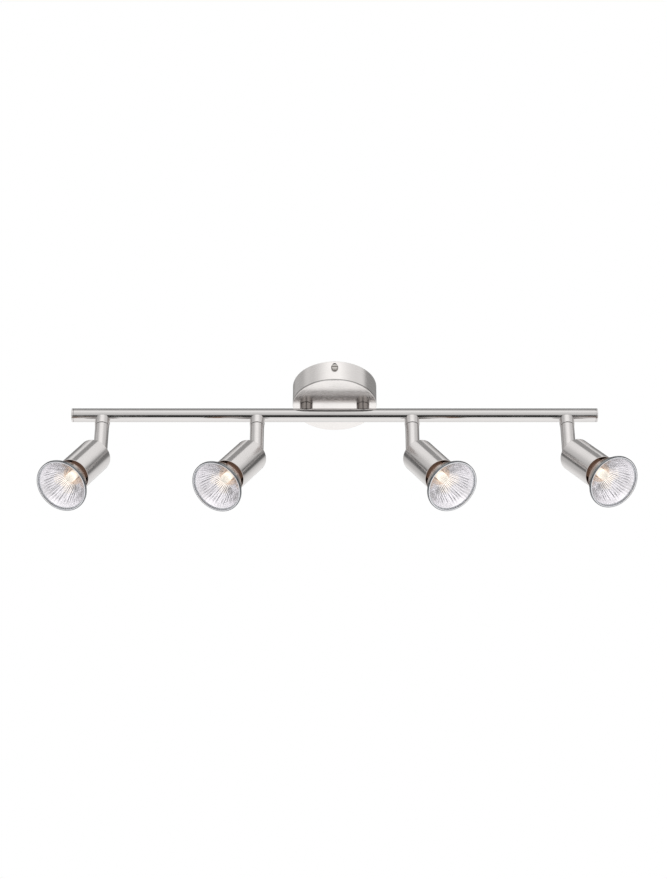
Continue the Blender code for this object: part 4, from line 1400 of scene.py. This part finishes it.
@dataclass
class ReflectorLamp:
    """A twist-base reflector lamp: glass bowl with pins, fluted mirror, burner, front glass and rim."""

    front: float = 80.5 * MM
    radius: float = 25.0 * MM
    rim_wall: float = 0.5 * MM
    rim_lip: float = 1.3 * MM
    rim_depth: float = 2.0 * MM
    glass_front: float = 0.8 * MM
    glass_back: float = 2.1 * MM
    glass_radius: float = 24.2 * MM
    glass_edge: float = 0.25 * MM
    glass_centre: float = 2.0 * MM
    bowl_start: float = 2.4 * MM
    bowl_vertex: float = 31.0 * MM
    mirror_radius: float = 22.4 * MM
    mirror_vertex: float = 29.2 * MM
    mirror_wall: float = 0.5 * MM
    mirror_play: float = 0.1 * MM
    mirror_centre: float = 1.0 * MM
    well_radius: float = 5.5 * MM
    well_depth: float = 6.0 * MM
    neck_radius: float = 10.0 * MM
    base: float = 31.7 * MM
    burner_radius: float = 4.2 * MM
    burner_length: float = 20.0 * MM
    burner_play: float = 0.3 * MM
    nib_tip: float = 0.5 * MM
    nib_foot: float = 0.8 * MM
    nib_waist: float = 0.6 * MM
    nib_height: float = 0.8 * MM
    pin_offset: float = 5.0 * MM
    pin_radius: float = 1.5 * MM
    pin_head: float = 2.35 * MM
    pin_length: float = 6.0 * MM
    pin_head_height: float = 2.4 * MM
    pin_edge: float = 0.4 * MM
    pin_root: float = 1.0 * MM
    flute_depth: float = 0.010
    flute_from: float = 5.775 * MM
    flute_to: float = 22.176 * MM
    flute_smooth: float = 11.0
    rings: int = 12

    def build(self, places: dict[str, Matrix]) -> None:
        """Make one of each piece and copy it to every head; the mirror stands for no node.

        Args:
            places: each head's place, by its number.
        """
        bowl = Label("glass_bowl", "head", "reflector_glass", "lamp_reflector")
        mirror = Label("fluted_mirror", "head", "reflector_glass")
        burner = Label("quartz_burner", "head", "burner_glass", "lamp_burner")
        glass = Label("front_glass", "head", "clear_glass", "lamp_glass")
        rim = Label("rolled_rim", "head", "lamp_rim_metal", "lamp_rim")
        Bench.hand_out(self.bowl(), bowl, places, DarkGlass())
        Bench.hand_out(self.mirror(), mirror, places, MirrorCoat())
        Bench.hand_out(self.burner(), burner, places, GlowingQuartz())
        Bench.hand_out(self.glass(), glass, places, ClearGlass())
        Bench.hand_out(self.rim(), rim, places, RolledRim())

    def depth_at(self, radius: float, mouth: float, vertex: float) -> float:
        """How deep behind the front a parabola is where it has narrowed to a radius."""
        return vertex - (vertex - self.bowl_start) * (radius / mouth) ** 2

    def parabola(self, mouth: float, vertex: float, end: float) -> Outline:
        """Points of a bowl's side from its mouth inwards to a radius, evenly spaced in radius.

        Args:
            mouth: the radius at the mouth.
            vertex: the depth at which the parabola would close.
            end: the radius at which it stops.

        Returns:
            The side's (radius, height) points.
        """
        radii = [mouth + (end - mouth) * step / self.rings for step in range(self.rings + 1)]
        return [(radius, self.depth_at(radius, mouth, vertex) - self.front) for radius in radii]

    def bowl(self) -> Piece:
        """Turn the thick glass bowl behind the mirror and join its two headed pins to the base."""
        wall = self.mirror_wall + self.mirror_play
        inner = self.mirror_radius + wall
        outside = self.parabola(self.glass_radius, self.bowl_vertex, self.neck_radius)
        inside = self.parabola(inner, self.mirror_vertex + wall, self.well_radius + wall)
        well_end = inside[-1][1] + self.well_depth
        lowered = [(radius, height + wall) for radius, height in (outside[0], inside[0])]
        outline = [(self.well_radius + wall, well_end + wall), *reversed(inside), *reversed(lowered)]
        foot = [(self.neck_radius, -self.base - wall), (self.neck_radius - wall, -self.base)]
        foot += [(wall, -self.base)]
        outline = [(2 * wall, well_end + wall), *outline, *outside[1:], *foot]
        bowl = Bench.turned("bowl", outline, Sides.ROUND)
        for side in (-1, 1):
            Bench.combine(bowl, self.pin(side), Cut.ADD)
        return Bench.soften(bowl, 0)

    def pin(self, side: int) -> Piece:
        """Turn one headed pin on its side of the base."""
        foot, tip = -self.base, self.pin_length - self.base
        neck = tip - self.pin_head_height
        edge = self.pin_edge
        round_over = Bench.arc(self.pin_head - edge, tip - edge, edge, 0, 90, 3)
        outline = [(self.pin_radius, foot - self.pin_root), (self.pin_radius, neck), (self.pin_head, neck)]
        pin = Bench.turned("pin", [*outline, *round_over], Sides.SMALL)
        return Bench.place(pin, Matrix.Translation((side * self.pin_offset, 0, 0)))

    def mirror(self) -> Piece:
        """Turn the thin mirror shell, then draw every other line of its bowl inwards as flutes."""
        wall = self.mirror_wall
        face = self.parabola(self.mirror_radius, self.mirror_vertex, self.well_radius)
        back = self.parabola(self.mirror_radius + wall, self.mirror_vertex + wall, self.well_radius + wall)
        well_end = face[-1][1] + self.well_depth
        flange = [(self.glass_radius, face[0][1]), (self.glass_radius, face[0][1] + wall)]
        centre = self.mirror_centre
        outline = [(centre, well_end), (self.well_radius, well_end), *reversed(face), *flange, *back]
        outline += [(self.well_radius + wall, well_end + wall), (centre, well_end + wall)]
        piece = Bench.turned("mirror", outline, Sides.FLUTED)
        self.flute(piece)
        return Bench.soften(piece, 0, smooth_below=self.flute_smooth)

    def flute(self, piece: Piece) -> None:
        """Pull every second line of points on the mirror's face towards the axis."""
        Bench.pick(piece)
        bpy.ops.object.mode_set(mode="EDIT")
        bpy.ops.mesh.select_mode(type="VERT")
        bpy.ops.mesh.select_all(action="DESELECT")
        bpy.ops.object.mode_set(mode="OBJECT")
        step = 2 * math.pi / Sides.FLUTED.value
        for point in piece.data.vertices:
            radius = point.co.xy.length
            line = round(math.atan2(point.co.y, point.co.x) / step)
            depth = self.depth_at(radius, self.mirror_radius, self.mirror_vertex)
            on_face = abs(point.co.z + self.front - depth) < self.mirror_wall / 10
            inside = self.flute_from < radius < self.flute_to
            point.select = bool(line % 2) and on_face and inside
        bpy.ops.object.mode_set(mode="EDIT")
        draw = 1 - self.flute_depth
        bpy.ops.transform.resize(value=(draw, draw, 1), center_override=(0, 0, 0))
        bpy.ops.object.mode_set(mode="OBJECT")

    def burner(self) -> Piece:
        """Turn the burner capsule, its round tip towards the front and pinched to a small nib."""
        well = self.depth_at(self.well_radius, self.mirror_radius, self.mirror_vertex)
        base = well + self.well_depth - self.burner_play - self.front
        tip = base - self.burner_length
        radius = self.burner_radius
        dome = Bench.arc(0.0, tip + radius + self.nib_height, radius, -75, 0, 8)
        nib = [(self.nib_tip, tip), (self.nib_foot, tip + self.nib_waist)]
        outline = [*nib, *dome, (radius, base), (radius / 4, base)]
        return Bench.soften(Bench.turned("burner", outline, Sides.SMALL), 0)

    def glass(self) -> Piece:
        """Turn the clear front disc with ground edges."""
        low, high = self.glass_front - self.front, self.glass_back - self.front
        edge = self.glass_edge
        inner, outer, centre = self.glass_radius - edge, self.glass_radius, self.glass_centre
        ground = [(inner, low), (outer, low + edge), (outer, high - edge), (inner, high)]
        outline = [(centre, low), *ground, (centre, high)]
        return Bench.soften(Bench.turned("disc", outline, Sides.LARGE), 0)

    def rim(self) -> Piece:
        """Turn the thin metal ring that is rolled round the front edge."""
        low, inner = -self.front, self.radius - self.rim_wall
        roll = Bench.arc(self.radius - self.rim_wall, low + self.rim_wall, self.rim_wall, -90, 0, 5)
        lip = self.radius - self.rim_lip
        outline = [(lip, low), *roll, (self.radius, low + self.rim_depth), (inner, low + self.rim_depth)]
        outline += [(inner, low + self.rim_wall), (lip, low + self.rim_wall)]
        return Bench.soften(Bench.turned("rim", outline, Sides.LARGE, Ends.JOINED), 0)


# ---------------------------------------------------------------- studio

@dataclass
class Studio:
    """A pale floor, a wrap of soft light with two dark gaps, and the camera below and in front."""

    floor_z: float = -2.4
    floor_size: float = 14.0
    focal_length: float = 90.1
    pitch: float = math.radians(35.83)
    distance: float = 2.077
    target: Vector = Vector((-0.0011, 0.0, -0.0624))
    strength: float = FULL_LIGHT
    studio_colour: Colour = (1.0, 0.995, 0.985)
    key_height: float = math.radians(36)
    key_levels: Levels = ((0.80, 0.0), (0.906, 0.10), (0.961, 0.24), (0.982, 0.32), (1.0, 0.42))
    middle_levels: Levels = (
        (-180, 1.00), (-157, 1.10), (-140, 1.20), (-112, 1.25), (-90, 1.20), (-76, 0.95), (-69, 0.50),
        (-65, 0.01), (-37, 0.01), (-31, 0.60), (-20, 0.80), (0, 0.92), (34, 0.85), (52, 0.62),
        (66, 0.50), (78, 0.40), (99, 0.38), (104, 0.03), (144, 0.03), (152, 0.90), (180, 1.00),
    )
    side_levels: Levels = (
        (-180, 1.00), (-140, 1.15), (-110, 1.05), (-30, 0.95), (34, 0.96),
        (46, 0.84), (60, 0.86), (75, 1.10), (92, 1.00), (180, 0.95),
    )
    end_levels: Levels = (
        (-1.0, 0.60), (-0.81, 0.66), (-0.71, 0.72), (-0.60, 0.88), (-0.45, 1.0),
        (0.60, 1.0), (0.72, 0.92), (0.80, 0.75), (1.0, 0.50),
    )
    to_sides: Levels = ((0.125, 0.0), (0.15, FULL_LIGHT))
    to_outer: Levels = ((0.35, 0.0), (0.50, FULL_LIGHT))
    outer_panel: Levels = ((88, 0.0), (99, FULL_LIGHT), (140, FULL_LIGHT), (150, 0.0))
    inner_panel: Levels = ((103, 0.0), (116, FULL_LIGHT), (146, FULL_LIGHT), (153, 0.0))
    panel_levels: Levels = (
        (-1.0, 0.15), (-0.87, 0.15), (-0.80, 0.52), (-0.50, 0.50), (-0.35, 0.25), (-0.20, 0.30),
        (-0.12, 0.05), (0.12, 0.05), (0.20, 0.30), (0.35, 0.25), (0.50, 0.31), (0.80, 0.31),
        (0.87, 0.15), (1.0, 0.15),
    )

    def build(self) -> None:
        """Set up the floor, the light and the camera."""
        self.floor()
        self.light()
        self.camera()
        bpy.context.scene.view_settings.view_transform = "Standard"

    def floor(self) -> None:
        """Lay a plain pale floor far below, out of the metal's reflections."""
        bpy.ops.object.select_all(action="DESELECT")
        bpy.ops.mesh.primitive_plane_add(size=self.floor_size, location=(0, 0, self.floor_z))
        floor = bpy.context.object
        floor.name = "pale_floor"
        floor.data.materials.append(FLOOR_PAINT.material("pale_paint"))
        floor.visible_glossy = False
        floor.visible_transmission = False

    def light(self) -> None:
        """Wrap the room in light by the angle round the bar's direction, fading towards its ends."""
        world = bpy.data.worlds.new("soft_wrap")
        bpy.context.scene.world = world
        world.use_nodes = True
        tree = world.node_tree
        tree.nodes.clear()

        def node(kind: str, inputs: dict, **settings) -> bpy.types.Node:
            """Add a node to the world, linked or set at each input."""
            made = tree.nodes.new(kind)
            for key, value in settings.items():
                setattr(made, key, value)
            for key, value in inputs.items():
                if isinstance(value, bpy.types.NodeSocket):
                    tree.links.new(value, made.inputs[key])
                else:
                    made.inputs[key].default_value = value
            return made

        def levels(value, stops: Levels, low: float, high: float) -> bpy.types.NodeSocket:
            """Light levels along a value, with stops in the value's own units."""
            ends = {"Value": value, "From Min": low, "From Max": high}
            share = node("ShaderNodeMapRange", ends).outputs[0]
            made = node("ShaderNodeValToRGB", {0: share})
            elements = made.color_ramp.elements
            while len(elements) < len(stops):
                elements.new(0.5)
            for element, (place, level) in zip(elements, stops):
                element.position = (place - low) / (high - low)
                grey = level / self.strength
                element.color = (grey, grey, grey, 1.0)
            return made.outputs[0]

        def maths(operation: str, *values) -> bpy.types.NodeSocket:
            """The result of a Math node on one or two values."""
            return node("ShaderNodeMath", dict(enumerate(values)), operation=operation).outputs[0]

        def blend(share, one, two) -> bpy.types.NodeSocket:
            """Mix one level into another by a share from 0 to 1."""
            return node("ShaderNodeMix", {0: share, 2: one, 3: two}, data_type="FLOAT").outputs[0]

        direction = tree.nodes.new("ShaderNodeTexCoord").outputs["Generated"]
        x, y, z = node("ShaderNodeSeparateXYZ", {0: direction}).outputs
        full, round_bar = self.strength, (-180, 180)
        angle = maths("ARCTAN2", z, maths("MULTIPLY", y, -1.0))
        turn = maths("DEGREES", angle)
        middle = levels(turn, self.middle_levels, *round_bar)
        fading = levels(x, self.end_levels, -1, 1)
        faded = maths("MULTIPLY", levels(turn, self.side_levels, *round_bar), fading)
        off_middle = maths("ABSOLUTE", x)
        # each level is stored as a share of the full strength, so a product of two is scaled up once
        sides = maths("MULTIPLY", faded, full)
        to_sides = levels(off_middle, self.to_sides, 0, 1)
        base = blend(to_sides, middle, sides)
        outer = levels(turn, self.outer_panel, *round_bar)
        inner = levels(turn, self.inner_panel, *round_bar)
        panel = blend(levels(off_middle, self.to_outer, 0, 1), inner, outer)
        mixed = blend(panel, base, levels(x, self.panel_levels, -1, 1))
        key = Vector((0, -math.cos(self.key_height), math.sin(self.key_height)))
        inputs = {0: direction, 1: key}
        facing = node("ShaderNodeVectorMath", inputs, operation="DOT_PRODUCT").outputs["Value"]
        total = maths("ADD", mixed, levels(facing, self.key_levels, 0, 1))
        level = maths("MULTIPLY", total, full)
        studio = node("ShaderNodeBackground", {"Color": (*self.studio_colour, 1.0), "Strength": level})
        plain = node("ShaderNodeBackground", {"Color": (1.0, 1.0, 1.0, 1.0), "Strength": 1.0})
        seen = tree.nodes.new("ShaderNodeLightPath").outputs["Is Camera Ray"]
        both = node("ShaderNodeMixShader", {0: seen, 1: studio.outputs[0], 2: plain.outputs[0]})
        node("ShaderNodeOutputWorld", {"Surface": both.outputs[0]})

    def camera(self) -> None:
        """Stand the camera below and in front, looking up at the fixture's middle."""
        data = bpy.data.cameras.new("camera")
        data.lens = self.focal_length
        camera = bpy.data.objects.new("camera", data)
        bpy.context.scene.collection.objects.link(camera)
        sight = Vector((0, math.cos(self.pitch), math.sin(self.pitch)))
        camera.location = self.target - sight * self.distance
        camera.rotation_euler = (math.pi / 2 + self.pitch, 0, 0)
        bpy.context.scene.camera = camera


# ---------------------------------------------------------------- putting it together

def standing(origin: Vector, across: Vector, up: Vector) -> Matrix:
    """The place whose Z is up and whose X is across."""
    axes = Matrix((across, up.cross(across), up)).transposed().to_4x4()
    return Matrix.Translation(origin) @ axes


def head_places() -> tuple[dict[str, Matrix], dict[str, Matrix]]:
    """Where every arm and every head is, from the tilt joints and the lamps' rims.

    Returns:
        The arms' places and the heads' places, by number, all with their origin on the tilt pivot.
    """
    arms, heads = {}, {}
    for number in HEADS:
        joint = next(row for row in frame["joints"] if row["name"] == f"tilt_{number}")
        pivot = Vector(joint["pos_m"])
        across = -Vector(joint["axis"]).normalized()
        low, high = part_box(f"lamp_rim_{number}")
        back = (pivot - (low + high) / 2).normalized()
        low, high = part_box(f"pivot_screw_{number}")
        screw_side = math.copysign(1.0, ((low + high) / 2 - pivot).dot(across))
        arms[str(number)] = standing(pivot, screw_side * across, Vector((0, 0, 1)))
        heads[str(number)] = standing(pivot, across, back)
    return arms, heads


def main() -> None:
    """Build the fixture's looks and the studio."""
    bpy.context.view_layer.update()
    arms, heads = head_places()
    Canopy().build()
    CeilingBracket().build()
    bar = Bar()
    bar.build()
    Arm().build(bar.axis_z, arms)
    SpotHead().build(heads)
    ReflectorLamp().build(heads)
    Studio().build()


if __name__ == "__main__":
    main()
